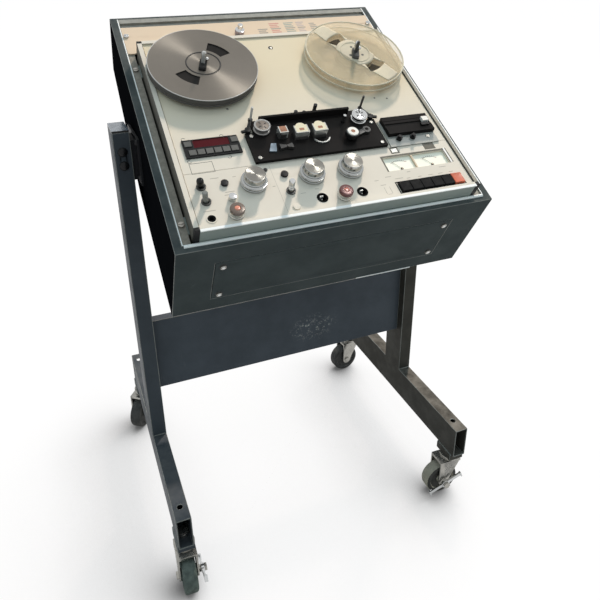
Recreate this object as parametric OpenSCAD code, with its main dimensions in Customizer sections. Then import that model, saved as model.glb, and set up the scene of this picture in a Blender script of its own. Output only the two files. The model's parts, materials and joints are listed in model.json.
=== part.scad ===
// Open-reel tape recorder in a tilted cabinet on a wheeled tube stand.
// Millimetres, +Z up, X to the right, Y to the back. The stand is drawn about its own middle and
// moved at the end, so that the origin is on the floor under the middle of the whole object.
// Panel pieces are drawn in the panel's own axes: x across, y up the slope, z out of the panel.

/* [Stand] */
// Width over the two posts
stand_w = 586; // [560:1:640]
// Width of the posts and legs, side to side
tube_w = 27; // [25:1:32]
// Depth of a post, front to back
post_d = 62; // [50:1:70]
// Height of a leg
leg_h = 66; // [50:1:80]
// Wall of the tubes
tube_wall = 2; // [1.5:0.5:3]
// Height of the legs' underside over the floor
leg_bottom = 107; // [104:1:130]
// Height of the top of the posts
post_top = 786; // [780:1:800]
// Height by which the right post ends under the left one
post_drop = 14; // [0:1:14]
// Reach of a leg in front of the posts' middle
leg_front = 249; // [220:1:270]
// Reach of a leg behind the posts' middle
leg_back = 261; // [245:1:300]
// Height of the lower edge of the cross panel
cross_low = 272; // [220:1:300]
// Height of the cross panel
cross_h = 150; // [100:1:180]
// Set-back of the cross panel behind the front of the posts
cross_setback = 18; // [8:1:30]
// Width of the folded edges of the cross panel
cross_flange = 20; // [12:1:28]
// Thickness of the cross panel's sheet
cross_t = 3; // [2:0.5:4]
// Thickness of the caps on the posts
cap_t = 3; // [2:0.5:5]

/* [Casters] */
// Wheel diameter
wheel_d = 70; // [64:1:74]
// Tyre width
wheel_w = 25; // [20:1:27]
// Distance from the swivel axis to the axle
caster_trail = 20; // [16:1:26]
// Front swivel axis, in from the leg's front end
swivel_front_in = 30; // [26:1:40]
// Rear swivel axis, in from the leg's rear end
swivel_back_in = 23; // [23:1:40]
// Swivel stem diameter
stem_d = 12; // [8:0.5:14]
// Axle diameter
axle_d = 8; // [6:0.5:10]
// Height of the mounting pad under the leg
pad_h = 16; // [10:1:18]
// Length of the mounting pad along the leg
pad_len = 46; // [42:1:46]
// Diameter of the access hole in the leg's top
access_d = 10; // [8:0.5:14]
// Direction of the front left wheel from its swivel axis
turn_fl = 268; // [250:1:290]
// Direction of the front right wheel
turn_fr = 178; // [165:1:195]
// Direction of the rear right wheel
turn_rr = 187; // [170:1:205]
// Direction of the rear left wheel
turn_rl = 234; // [215:1:245]
// Half length of a brake pedal
pedal_len = 39; // [30:1:40]
// Slope of the released front right pedal
pedal_free = 22; // [12:1:28]
// Slope of the pressed front left pedal
pedal_set = -24; // [-30:1:-15]

/* [Cabinet] */
// Gap between the cabinet and each post
post_gap = 12; // [10:0.5:16]
// Board thickness
cab_wall = 12; // [9:0.5:15]
// Depth of the front board
cab_front_depth = 167; // [160:1:190]
// Depth of the rear board
cab_rear_depth = 105; // [95:1:120]
// Length of the flat part of the bottom
cab_flat = 255; // [220:1:280]
// Lean of the rear board
cab_lean = 7; // [0:1:12]
// Tilt of the panel
tilt = 30.5; // [25:0.5:35]
// Front edge of the rim, ahead of the posts' middle
rim_y = -280; // [-290:1:-270]
// Height of the front edge of the rim
rim_z = 679; // [670:1:685]
// Width of the service panel
service_w = 392; // [340:1:420]
// Height of the service panel
service_h = 98; // [80:1:110]
// Thickness of the service panel
service_t = 3; // [2:0.5:5]
// Edge of the board that carries the service panel
service_seat = 22; // [16:1:26]
// Top of the service panel below the rim
service_drop = 38; // [30:1:45]

/* [Recorder] */
// Gap between the recorder and the side of the opening
rec_gap = 16; // [15:0.5:18]
// Length of the recorder, up the slope
rec_len = 400; // [396:1:402]
// Height of the recorder over the rim
rec_proud = 27; // [24:0.5:30]
// Depth of the recorder's frame under the rim
rec_under = 30; // [25:1:40]
// Wall of the recorder's frame
rec_wall = 7.5; // [6.5:0.5:8]
// Drop of the deck under the frame's edge
deck_drop = 2.5; // [1:0.5:4]
// Thickness of the deck plate and the control panel
plate_t = 3.5; // [3:0.5:4]
// Front edge of the deck plate from the front of the recorder
split_in = 100.5; // [98:0.5:101]
// Width of the mounting strips
strip_w = 13; // [11:0.5:14]
// Thickness of the mounting strips
strip_t = 2.5; // [2:0.5:3]
// Length of the blank panel behind the recorder
filler_len = 72; // [68:1:76]
// Length of the rail behind the blank panel
rail_len = 17; // [14:1:20]
// Width of a black corner block of the recorder
corner_w = 8; // [6:0.5:10]

/* [Reels] */
// Reel diameter
reel_d = 178; // [160:1:200]
// Reel thickness
reel_t = 13; // [11:0.5:15]
// Flange thickness
flange_t = 1.3; // [1:0.1:2]
// Reel hub diameter
reel_hub_d = 58; // [50:1:62]
// Diameter of the wound tape
pack_d = 168; // [100:1:172]
// Reel axis from the side of the recorder
reel_side = 90; // [89:1:100]
// Reel axis from the rear of the recorder
reel_back = 88.5; // [84:0.5:98]
// Height of the reel over the deck
reel_lift = 6.5; // [5:0.5:8]
// Spindle diameter
spindle_d = 8; // [6:0.5:10]
// Turntable diameter
turntable_d = 68; // [50:1:80]

/* [Heads] */
// Depth of the head plate
head_dep = 58.5; // [52:0.5:59]
// Thickness of the head plate
head_t = 5.5; // [4:0.5:7]
// Diameter of the two guide rollers
guide_d = 26; // [20:1:27]
// Diameter of the pinch roller
pinch_d = 22; // [18:1:23]
// Diameter of the capstan
capstan_d = 5; // [4:0.5:6]
// Swing of the pinch roller to the capstan
pinch_swing = 38; // [30:1:39]

/* [Controls] */
// Diameter of a level knob's skirt
knob_d = 39; // [32:1:42]
// Diameter of a level knob's top
knob_top_d = 29; // [22:1:32]
// Height of a level knob
knob_h = 20; // [16:1:26]
// Shaft of the knobs
shaft_d = 6; // [4:0.5:6.5]
// Diameter of the two lamp knobs
lamp_knob_d = 21; // [16:1:24]
// Height of the two lamp knobs
lamp_knob_h = 14; // [10:1:18]
// Length of a transport key
key_len = 19; // [16:0.5:19.5]
// Height of a transport key over the panel
key_h = 4; // [3.5:0.5:6]
// Bore of the headphone jack
jack_d = 6.4; // [6.3:0.1:6.6]
// Bore of the two round sockets
socket_d = 12; // [10:0.5:13]
// Depth of the round sockets
socket_depth = 10; // [8:0.5:12]

/* [Fits] */
// Radial clearance of a running shaft
run_gap = 0.05; // [0.02:0.01:0.1]
// Clearance between pieces that slip past each other
slip_gap = 0.4; // [0.3:0.1:0.8]

/* [Hidden] */
$fn = 64;
eps = 0.01;
cut = 1;

// Stand
leg_top = leg_bottom + leg_h;
post_in = stand_w / 2 - tube_w;
cab_w = 2 * (post_in - post_gap);
swivel_x = stand_w / 2 - tube_w / 2;
swivel_front = swivel_front_in - leg_front;
swivel_back = leg_back - swivel_back_in;
pad_over = 2;
bolt_z = [post_top - 32, post_top - 55];
bolt_d = 8;
bolt_head_d = 16;
bolt_head_h = 5;

// Casters: each has its side, swivel depth and wheel direction
wheel_r = wheel_d / 2;
pad_z = leg_bottom - pad_h;
race_d = 38;
race_t = 6.6;
crown_t = 5;
crown_top = pad_z - slip_gap - race_t;
fork_in = wheel_w / 2 + 2.5;
fork_t = 3;
nut_t = 4;
pedal_in = fork_in + fork_t + nut_t + slip_gap;
pedal_t = 6;
axle_out = pedal_in + pedal_t + slip_gap + nut_t;
stem_head_h = 6.6;
hub_r = 11;
web_sunk = 3;
tyre_h = 8;
tyre_edge = 4;
tyre_round = 1.2;

// Cabinet outline up the slope and out of the panel, as long as what it holds
front_gap = 1.5;
rear_gap = 2;
rail_gap = 0.5;
rec_start = cab_wall + front_gap;
rec_end = rec_start + rec_len;
filler_start = rec_end + rear_gap;
filler_end = filler_start + filler_len;
rail_start = filler_end + rail_gap;
cab_len = rail_start + rail_len + cab_wall;
cab_slope = (cab_front_depth - cab_rear_depth) / (cab_len - cab_lean - cab_flat);
slope_wall = cab_wall * sqrt(1 + cab_slope * cab_slope);
inner_rear = cab_len - cab_lean - cab_wall;
outer_profile = [
  [0, 0], [cab_len, 0], [cab_len - cab_lean, -cab_rear_depth],
  [cab_flat, -cab_front_depth], [0, -cab_front_depth]
];
inner_profile = [
  [cab_wall, cut], [cab_len - cab_wall, cut], [cab_len - cab_wall, 0],
  [inner_rear, -(cab_front_depth - (inner_rear - cab_flat) * cab_slope - slope_wall)],
  [cab_flat - (slope_wall - cab_wall) / cab_slope, cab_wall - cab_front_depth],
  [cab_wall, cab_wall - cab_front_depth]
];
service_screw_x = service_w / 2 - 12;
service_screw_h = [-(service_drop + 12), -(service_drop + service_h - 12)];
inlet_w = 28;
inlet_h = 21;
inlet_z = -62;

// Cabinet bracket beside each post
bracket_t = 4;
bracket_y = [-52, 56];
bracket_z = [700, post_top - 8];
spacer_y = [-26, 26];
bracket_bolts = [[-42, 770], [46, 734], [-42, 712], [36, 709]];
bracket_bolt_d = 10;

// Recorder levels, measured out of the rim. Places across the panel follow the recorder's width
// by panel_k, which is 1 at the width they were measured on
opening = cab_w / 2 - cab_wall;
rec_w = 2 * (opening - rec_gap);
rec_front_wall = rec_wall - 1;
rec_in = rec_w / 2 - rec_wall;
panel_k = rec_w / 452;
deck_top = rec_proud - deck_drop;
deck_low = deck_top - plate_t;
split_v = rec_start + split_in;
plate_seam = 0.5;
ledge_w = 2.5;
ledge_t = 3.5;
lip_t = 1.5;
lip_h = 0.8;
plate_edge = 1.2;
service_gap = 0.8;
strip_top = -1.5;
strip_in = opening - strip_w;
ear_t = 3;
ear_len = 30;
ear_v = [rec_start + 34, rec_end - 38.5];
rack_screw_x = opening - 7.5;
filler_t = 2.5;
filler_w = opening - lip_t - 0.5;
filler_screw_v = filler_start + filler_len * 31 / 48;
lock_at = [-35 * panel_k, filler_start + filler_len * 11 / 24];
rail_seat = cab_len - 5;
rail_wall = cab_len - cab_wall - slip_gap - (2 * strip_t - strip_top) * cab_lean / cab_rear_depth;
corner_len = 6;
screw_d = 5;
screw_head_d = 9;
screw_head_h = 2.6;

// Reels
reel_x = rec_w / 2 - reel_side;
reel_v = rec_end - reel_back;
reel_low = deck_top + reel_lift;
reel_top = reel_low + reel_t;
window_in = reel_hub_d / 2 + 5;
window_out = window_in + 20;
window_angle = 46;
supply_window = 22;
takeup_window = 98;
lock_angle = 250;
spindle_up = 22;
hub_shaft_d = 10;
motor_d = 90;
motor_len = 80;

// Head block
path_v = rec_start + 157;
head_half = 109.5 * panel_k;
head_v = split_v + 1.5;
floor_top = deck_top + head_t;
rear_floor_v = path_v + 28;
rear_floor_x = 95 * panel_k;
shield_x = panel_k * [-83, 69];
shield_v = [path_v + 21, path_v + 25];
shield_h = 12;
head_screw_x = 101.5 * panel_k;
head_screw_v = [head_v + 6.5, head_v + 51.5];
guide_pin_d = 6;
guide_left = [-82.3 * panel_k, path_v + 6.7];
guide_right = [82.3 * panel_k, path_v + 6.7];
guide_h = 11;
pinch_pivot = [85 * panel_k, path_v - 20.5];
pinch_reach = 32.6;
pinch_angle = 198;
pinch_low = floor_top + 0.5;
arm_t = 4;
arm_step = 0.4;
arm_boss_d = 10;
roller_low = pinch_low + arm_t + slip_gap;
roller_h = 8;
pinch_cap_h = 1.6;
capstan_at = pinch_place(pinch_swing) + [0, (pinch_d + capstan_d) / 2 + slip_gap];
capstan_motor_d = 66;
tension_x = 104 * panel_k;
tension_v = path_v + 7.5;
tension_reach = 23;
tension_angle = 64;
tension_pin_d = 3.6;
tail_angle = -15;
tail_reach = 11;
tension_h = 28;
capstan_up = 14.5;
erase_x = panel_k * [-61.6, -47.7];
erase_v = [path_v - 16.5, path_v - 3];
tape_head_x = panel_k * [-26.2, 4.4];
tape_head_v = [path_v - 22, path_v - 6];
tape_head_w = 11;
tape_head_h = 15;
nose_d = 16;
tab_t = 2;
tab_outline = [[-77, -24], [-69, -25], [-73, -41], [-84, -39]];
bow_at = [6.6 * panel_k, path_v - 20.7];
bow_r = 13.5;
bow_t = 2;
stub_at = [[-15 * panel_k, path_v + 37], [-2 * panel_k, path_v + 34], [19 * panel_k, path_v + 41]];
stub_d = 6;
stub_h = [8, 14];

// Controls, across and up the slope
knob_x = panel_k * [-123.3, -33.3, 29.3];
knob_v = rec_start + 68;
lamp_knob_at = [[-163 * panel_k, rec_start + 18.5], [0.5 * panel_k, rec_start + 20.5]];
toggle_black_at = [-198.5 * panel_k, rec_start + 74];
toggle_grey_at = [-198 * panel_k, rec_start + 47];
toggle_chrome_at = [-74.5 * panel_k, rec_start + 44];
toggle_hole_d = 10;
toggle_barrel_d = 7.6;
toggle_barrel_w = 5;
jack_at = [-198 * panel_k, rec_start + 17.5];
socket_at = [[-33 * panel_k, rec_start + 23.5], [31 * panel_k, rec_start + 23]];
key_x0 = 92 * panel_k;
key_pitch = 18.6 * panel_k;
key_count = 6;
key_v = rec_start + 9.5;
key_low = 7;
meter_x = panel_k * [90, 200];
meter_v = [rec_start + 53, rec_start + 80.5];
meter_mid = 141 * panel_k;
meter_pivots = panel_k * [115.5, 170.5];
meter_case_h = 13;
needle_len = 19;
counter_x = panel_k * [-206, -121.5];
counter_v = [rec_start + 128, rec_start + 164];
counter_t = 2.5;
counter_window_x = panel_k * [-190, -136];
counter_key_x = panel_k * [-200, -187.4, -174.8, -162.2, -149.6, -137];
counter_side_x = panel_k * [-203.5, -133];
counter_key_w = 10.6 * panel_k;
counter_key_h = 10;
button_d = 11;
round_buttons = [
  [-164.5 * panel_k, 74.5, button_d, 3.5], [-74 * panel_k, 75.5, button_d, 3.5],
  [-161.5 * panel_k, 45, button_d, 8], [-99 * panel_k, 89, 6, 1.5], [-76 * panel_k, 15, button_d, 1.5]
];

// Splice block, across the panel and up from its base
splice_x = panel_k * [115, 203];
splice_block_x = 119 * panel_k;
splice_v = path_v - 37;
splice_front = 21;
splice_base_t = 2;
splice_h = 7.5;
splice_knob_x = panel_k * [135, 160];
splice_knob_d = [9, 6];
splice_knob_h = [5, 8];
splice_cap_x = panel_k * [187, 198];
splice_cap_v = [16.5, 25.5];
splice_cap_h = 5;
cutter_x = panel_k * [182, 196];
cutter_v = [9, 14.5];
cutter_h = 3;
splice_screw_x = 188 * panel_k;

// Board and transformer under the deck
board_low = deck_low - 59;
board_t = 2;
board_x = panel_k * [-190, 80];
board_v = [rec_start + 22, rec_start + 96];
pillar_x = panel_k * [-182, 70];
pillar_v = [rec_start + 30, rec_start + 92];
pillar_d = 6;
core_x = 45 * panel_k;
core_v = [rec_start + 211.5, rec_start + 276.5];
core_h = 70;

// The whole object's reach, which puts the origin under its middle
function reach_x(side, turn, along, across) =
  side * swivel_x + along * cos(turn) - across * sin(turn);
left_reach = min(
  -stand_w / 2 - pad_over,
  reach_x(-1, turn_rl, caster_trail, 0) - wheel_r * abs(cos(turn_rl)) - wheel_w / 2 * abs(sin(turn_rl))
);
right_reach = max(
  stand_w / 2 + pad_over,
  reach_x(1, turn_fr, caster_trail - pedal_len * cos(pedal_free), pedal_in + pedal_t)
);
front_reach = rim_y + rec_start * cos(tilt) - rec_proud * sin(tilt);
origin_x = -(left_reach + right_reach) / 2;
origin_y = -(front_reach + leg_back) / 2;

module at_origin() translate([origin_x, origin_y, 0]) children();

// The panel's own axes
module on_panel() translate([0, rim_y, rim_z]) rotate([tilt, 0, 0]) children();

// A block from one corner to the other
module block(low, high) translate(low) cube(high - low);

// A post or pin that stands at a point of the panel
module peg(at, low, high, d) translate([at[0], at[1], low]) cylinder(d = d, h = high - low);

// The places of the four casters
module at_caster(side, depth, turn) translate([side * swivel_x, depth, 0]) rotate([0, 0, turn]) children();
module at_fl() at_caster(-1, swivel_front, turn_fl) children();
module at_fr() at_caster(1, swivel_front, turn_fr) children();
module at_rr() at_caster(1, swivel_back, turn_rr) children();
module at_rl() at_caster(-1, swivel_back, turn_rl) children();

// Height of the top of a post
function post_end(side) = side > 0 ? post_top - post_drop : post_top;

// Right side of the stand: a post welded on a leg that is open at both ends
module side_frame(top) {
  tube_in = [post_in + tube_wall, stand_w / 2 - tube_wall];
  difference() {
    union() {
      difference() {
        block([post_in, -post_d / 2, leg_top], [stand_w / 2, post_d / 2, top]);
        block(
          [tube_in[0], tube_wall - post_d / 2, leg_top],
          [tube_in[1], post_d / 2 - tube_wall, top + cut]
        );
      }
      difference() {
        block([post_in, -leg_front, leg_bottom], [stand_w / 2, leg_back, leg_top]);
        block(
          [tube_in[0], -leg_front - cut, leg_bottom + tube_wall],
          [tube_in[1], leg_back + cut, leg_top - tube_wall]
        );
      }
      for (depth = [swivel_front, swivel_back])
        block(
          [post_in - pad_over, depth - pad_len / 2, pad_z],
          [stand_w / 2 + pad_over, depth + pad_len / 2, leg_bottom]
        );
    }
    for (depth = [swivel_front, swivel_back]) {
      translate([swivel_x, depth, pad_z - cut])
        cylinder(d = stem_d + 2 * run_gap, h = pad_h + tube_wall + 2 * cut);
      translate([swivel_x, depth, leg_top - tube_wall - cut])
        cylinder(d = access_d, h = tube_wall + 2 * cut);
    }
    for (z = bolt_z)
      translate([swivel_x, -post_d / 2 - cut, z])
        rotate([-90, 0, 0]) cylinder(d = bolt_d + 2 * slip_gap, h = tube_wall + 2 * cut);
  }
}

module left_side_frame() color([0.21, 0.24, 0.27]) mirror([1, 0, 0]) side_frame(post_end(-1));

module right_side_frame() color([0.21, 0.24, 0.27]) side_frame(post_end(1));

// Folded sheet between the posts
module cross_panel() color([0.22, 0.25, 0.27]) {
  front = cross_setback - post_d / 2;
  block([-post_in, front, cross_low], [post_in, front + cross_t, cross_low + cross_h]);
  for (z = [cross_low, cross_low + cross_h - cross_t])
    block([-post_in, front + cross_t, z], [post_in, front + cross_flange, z + cross_t]);
}

// Plastic caps on the posts, and the black blocks at the recorder's corners
module end_caps() color([0.06, 0.06, 0.07]) {
  for (side = [-1, 1])
    translate([side * swivel_x, 0, post_end(side)]) {
      translate([-tube_w / 2, -post_d / 2, 0]) cube([tube_w, post_d, cap_t]);
      plug = [tube_w - 2 * (tube_wall + slip_gap), post_d - 2 * (tube_wall + slip_gap), 10];
      translate([-plug[0] / 2, -plug[1] / 2, -plug[2]]) cube(plug);
    }
  on_panel() corner_blocks();
}

module corner_blocks() {
  for (side = [-1, 1], v = [rec_start, rec_end - corner_len])
    translate([side * (rec_w - corner_w) / 2 - corner_w / 2, v, -rec_under])
      cube([corner_w, corner_len, rec_under + rec_proud]);
}

// Plate on each side of the cabinet, with a spacer that meets the post
module cabinet_brackets() color([0.12, 0.12, 0.13]) {
  for (side = [0, 1])
    mirror([side, 0, 0]) {
      block(
        [cab_w / 2, bracket_y[0], bracket_z[0]],
        [cab_w / 2 + bracket_t, bracket_y[1], bracket_z[1]]
      );
      block(
        [cab_w / 2 + bracket_t, spacer_y[0], bracket_z[0] + 4],
        [post_in, spacer_y[1], bracket_z[1] - 8]
      );
    }
}

// Domed head, flat side down
module dome_head(d, h) {
  ball = (d * d / 4 + h * h) / (2 * h);
  intersection() {
    translate([0, 0, h - ball]) sphere(r = ball);
    cylinder(d = d, h = h);
  }
}

// Slotted pan head with its shank
module pan_screw(depth) {
  difference() {
    cylinder(d = screw_head_d, h = screw_head_h);
    translate([-screw_head_d, -0.6, screw_head_h - 1]) cube([2 * screw_head_d, 1.2, 2]);
  }
  translate([0, 0, -depth]) cylinder(d = screw_d, h = depth + eps);
}

// Bolts of the stand, screws of the panels and the knurled lock nut of the blank panel
module fasteners() color([0.45, 0.45, 0.44]) {
  for (side = [-1, 1], z = bolt_z)
    translate([side * swivel_x, -post_d / 2, z])
      rotate([90, 0, 0]) {
        dome_head(bolt_head_d, bolt_head_h);
        translate([0, 0, -14]) cylinder(d = bolt_d, h = 14 + eps);
      }
  for (side = [-1, 1], p = bracket_bolts)
    translate([side * (cab_w / 2 + bracket_t), p[0], p[1]])
      rotate([0, side * 90, 0]) dome_head(bracket_bolt_d, 3.5);
  on_panel() {
    for (side = [-1, 1], v = ear_v) translate([side * rack_screw_x, v, strip_top]) pan_screw(strip_t + ear_t);
    for (side = [-1, 1])
      translate([side * rack_screw_x, filler_screw_v, strip_top + filler_t]) pan_screw(filler_t + strip_t);
    for (side = [-1, 1], h = service_screw_h)
      translate([side * service_screw_x, 0, h]) rotate([90, 0, 0]) pan_screw(service_t + 4);
    for (side = [-1, 1], v = head_screw_v) peg([side * head_screw_x, v], floor_top, floor_top + 1.2, stub_d);
    translate([lock_at[0], lock_at[1], strip_top + filler_t]) lock_nut();
  }
}

module lock_nut() {
  cylinder(d = 15, h = 3);
  translate([0, 0, 3 - eps]) cylinder(d = 17, h = 9);
  translate([0, 0, 12 - 2 * eps]) cylinder(d1 = 17, d2 = 9, h = 3);
  translate([0, 0, 15 - 3 * eps]) cylinder(d = 9, h = 7);
  translate([0, 0, -filler_t - 3]) cylinder(d = 6, h = filler_t + 3 + eps);
}

// A cabinet outline drawn across the whole width w
module across(profile, w) rotate([90, 0, 90]) translate([0, 0, -w / 2]) linear_extrude(w) polygon(profile);

module cabinet_shell() color([0.18, 0.2, 0.2]) on_panel() difference() {
  across(outer_profile, cab_w);
  across(inner_profile, 2 * opening);
  service_low = service_drop + service_h;
  block([-service_w / 2, -cut, -service_low], [service_w / 2, service_t, -service_drop]);
  block(
    [service_seat - service_w / 2, -cut, service_seat - service_low],
    [service_w / 2 - service_seat, cab_wall + cut, -service_seat - service_drop]
  );
  for (side = [-1, 1], h = service_screw_h)
    translate([side * service_screw_x, -cut, h])
      rotate([-90, 0, 0]) cylinder(d = screw_d + 2 * slip_gap, h = cab_wall + 2 * cut);
  block([-opening, cab_len - cab_wall - cut, -strip_t], [opening, rail_seat, cut]);
  block(
    [-inlet_w / 2, inner_rear - 10, inlet_z - inlet_h / 2],
    [inlet_w / 2, cab_len + cut, inlet_z + inlet_h / 2]
  );
}

module service_panel() color([0.17, 0.19, 0.19]) on_panel() difference() {
  block(
    [service_gap - service_w / 2, 0, service_gap - service_drop - service_h],
    [service_w / 2 - service_gap, service_t, -service_drop - service_gap]
  );
  for (side = [-1, 1], h = service_screw_h)
    translate([side * service_screw_x, -cut, h])
      rotate([-90, 0, 0]) cylinder(d = screw_d + 2 * slip_gap, h = service_t + 2 * cut);
}

// Aluminium frame that lines the opening, with a strip on each side for the screws
module mounting_frame() color([0.62, 0.64, 0.62]) on_panel() difference() {
  union() {
    for (side = [0, 1])
      mirror([side, 0, 0]) {
        block([strip_in, cab_wall, strip_top - strip_t], [opening, rail_start, strip_top]);
        block([opening - lip_t, cab_wall, strip_top - eps], [opening, rail_seat, lip_h]);
      }
    block([-opening, cab_wall, strip_top - strip_t], [opening, cab_wall + 1, lip_h]);
    block([-opening, rail_start, strip_top - 2 * strip_t], [opening, rail_wall, strip_top - strip_t]);
    for (side = [0, 1])
      mirror([side, 0, 0])
        block(
          [strip_in, rail_start - 6, strip_top - 2 * strip_t],
          [opening, rail_start + eps, strip_top - strip_t + eps]
        );
    block([-opening, rail_wall - ear_t, strip_top - strip_t - eps], [opening, rail_wall, 0]);
    block([-opening, rail_wall - eps, -strip_t], [opening, rail_seat, 0]);
  }
  for (side = [-1, 1], v = concat(ear_v, [filler_screw_v]))
    peg([side * rack_screw_x, v], strip_top - strip_t - cut, cut, screw_d + 2 * slip_gap);
}

// Blank panel behind the recorder
module filler_panel() color([0.82, 0.79, 0.7]) on_panel() difference() {
  block([-filler_w, filler_start, strip_top], [filler_w, filler_end, strip_top + filler_t]);
  for (side = [-1, 1]) peg([side * rack_screw_x, filler_screw_v], -10, 10, screw_d + 2 * slip_gap);
  peg(lock_at, -10, 10, 6 + 2 * slip_gap);
}

// Frame of the recorder, with ears under the strips and a ledge for the plates
module deck_frame() color([0.5, 0.52, 0.5]) on_panel() difference() {
  union() {
    difference() {
      block([-rec_w / 2, rec_start, -rec_under], [rec_w / 2, rec_end, rec_proud]);
      block(
        [-rec_in, rec_start + rec_front_wall, -rec_under - cut],
        [rec_in, rec_end - rec_wall, rec_proud + cut]
      );
    }
    difference() {
      block(
        [-rec_in - eps, rec_start + rec_front_wall - eps, deck_low - ledge_t],
        [rec_in + eps, rec_end - rec_wall + eps, deck_low]
      );
      block(
        [ledge_w - rec_in, rec_start + rec_front_wall + ledge_w, -rec_under],
        [rec_in - ledge_w, rec_end - rec_wall - ledge_w, rec_proud]
      );
    }
    ear_top = strip_top - strip_t;
    for (side = [0, 1], v = ear_v)
      mirror([side, 0, 0])
        block(
          [rec_w / 2 - eps, v - ear_len / 2, ear_top - ear_t],
          [opening - slip_gap, v + ear_len / 2, ear_top]
        );
  }
  corner_blocks();
  for (side = [-1, 1], v = ear_v) peg([side * rack_screw_x, v], -20, 0, screw_d + 2 * slip_gap);
}

// Plate under the reels and the head block
module deck_plate() color([0.84, 0.81, 0.73]) on_panel() difference() {
  block(
    [plate_edge - rec_in, split_v + plate_seam, deck_low],
    [rec_in - plate_edge, rec_end - rec_wall - slip_gap, deck_top]
  );
  for (side = [-1, 1]) {
    peg([side * reel_x, reel_v], deck_low - cut, deck_top + cut, hub_shaft_d + 2 * slip_gap);
    peg([side * tension_x, tension_v], deck_low - cut, deck_top + cut, guide_pin_d + 2 * run_gap);
  }
  peg(capstan_at, deck_low - cut, deck_top + cut, capstan_d + 2);
}

// Front panel, with the holes of the controls
module control_panel() color([0.84, 0.81, 0.74]) on_panel() difference() {
  block(
    [plate_edge - rec_in, rec_start + rec_front_wall + slip_gap, deck_low],
    [rec_in - plate_edge, split_v, deck_top]
  );
  low = deck_low - cut;
  top = deck_top + cut;
  for (x = knob_x) peg([x, knob_v], low, top, shaft_d + 2 * run_gap);
  for (p = lamp_knob_at) peg(p, low, top, shaft_d + 2 * run_gap);
  for (p = [toggle_black_at, toggle_grey_at, toggle_chrome_at]) peg(p, low, top, toggle_hole_d);
  peg(jack_at, low, top, jack_d + 5 + 2 * slip_gap);
  for (p = socket_at) peg(p, low, top, socket_d + 3 + 2 * slip_gap);
  block(
    [key_x0 - slip_gap, key_v - slip_gap, low],
    [key_x0 + key_count * key_pitch, key_v + key_len + slip_gap, top]
  );
  block([meter_x[0], meter_v[0], low], [meter_x[1], meter_v[1], top]);
}

// Plate that carries the tape path, with the pins of its rollers and the shield behind the heads
module head_block() color([0.12, 0.12, 0.12]) on_panel() {
  difference() {
    union() {
      block([-head_half, head_v, deck_top], [head_half, head_v + head_dep, floor_top]);
      block([-rear_floor_x, head_v + head_dep - eps, deck_top], [rear_floor_x, rear_floor_v, floor_top]);
    }
    peg(capstan_at, deck_top - cut, floor_top + cut, capstan_d + 2);
  }
  for (p = [guide_left, guide_right]) peg(p, floor_top, floor_top + guide_h - 3, guide_pin_d);
  peg(pinch_pivot, floor_top, pinch_low + arm_t, guide_pin_d);
  block([shield_x[0], shield_v[0], floor_top], [shield_x[1], shield_v[1], floor_top + shield_h]);
}

// Place of the pinch roller when it has swung by an angle
function pinch_place(swing) =
  pinch_pivot + pinch_reach * [cos(pinch_angle - swing), sin(pinch_angle - swing)];

// Erase, record and play heads, the tab and the bow on the plate, and three posts behind the shield
module tape_heads() color([0.75, 0.72, 0.65]) on_panel() {
  w = tape_head_w;
  top = floor_top + tape_head_h;
  front = tape_head_v[0];
  back = tape_head_v[1];
  block([erase_x[0], erase_v[0], floor_top], [erase_x[1], erase_v[1], top - 1]);
  for (x = tape_head_x) {
    difference() {
      block([x - w, front, floor_top], [x + w, back, top]);
      block([x - w - cut, front - cut, floor_top + 6], [x + w + cut, front + 1, floor_top + 8]);
    }
    intersection() {
      translate([x, back - 3, floor_top]) cylinder(d = nose_d, h = tape_head_h);
      block([x - w, back - eps, floor_top], [x + w, back + 5, top]);
    }
  }
  translate([0, 0, floor_top]) linear_extrude(tab_t)
    polygon([for (p = tab_outline) [p[0] * panel_k, path_v + p[1]]]);
  difference() {
    peg(bow_at, floor_top, floor_top + bow_t, 2 * bow_r + bow_t);
    peg(bow_at, floor_top - cut, floor_top + bow_t + cut, 2 * bow_r - bow_t);
    block(
      [-head_half, bow_at[1] - 5, floor_top - cut],
      [head_half, bow_at[1] + 2 * bow_r, floor_top + bow_t + cut]
    );
  }
  for (p = stub_at) peg(p, deck_top, deck_top + (p[0] > 0 ? stub_h[1] : stub_h[0]), stub_d);
}

// Black bezel with the display window and pockets for its keys
module counter_module() color([0.1, 0.1, 0.1]) on_panel() difference() {
  block([counter_x[0], counter_v[0], deck_top], [counter_x[1], counter_v[1], deck_top + counter_t]);
  top = deck_top + counter_t;
  block(
    [counter_window_x[0], counter_v[1] - 17, top - 0.8],
    [counter_window_x[1], counter_v[1] - 2, top + cut]
  );
  counter_keys(slip_gap, deck_top + 0.5);
}

// Six keys in a row and one on each side of the display, each grown by a margin
module counter_keys(margin, low) {
  for (x = counter_key_x) counter_key([x, counter_v[0] + 4], margin, low);
  for (x = counter_side_x) counter_key([x, counter_v[1] - 14.5], margin, low);
}

module counter_key(at, margin, low)
  block(
    [at[0] - margin, at[1] - margin, low],
    [at[0] + counter_key_w + margin, at[1] + counter_key_h + margin, deck_top + counter_t + 1.5]
  );

// Keys of the counter and the small round buttons of the front panel
module push_buttons() color([0.45, 0.45, 0.44]) on_panel() {
  counter_keys(0, deck_top + 0.5);
  for (b = round_buttons) peg([b[0], rec_start + b[1]], deck_top, deck_top + b[3], b[2]);
}

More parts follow.
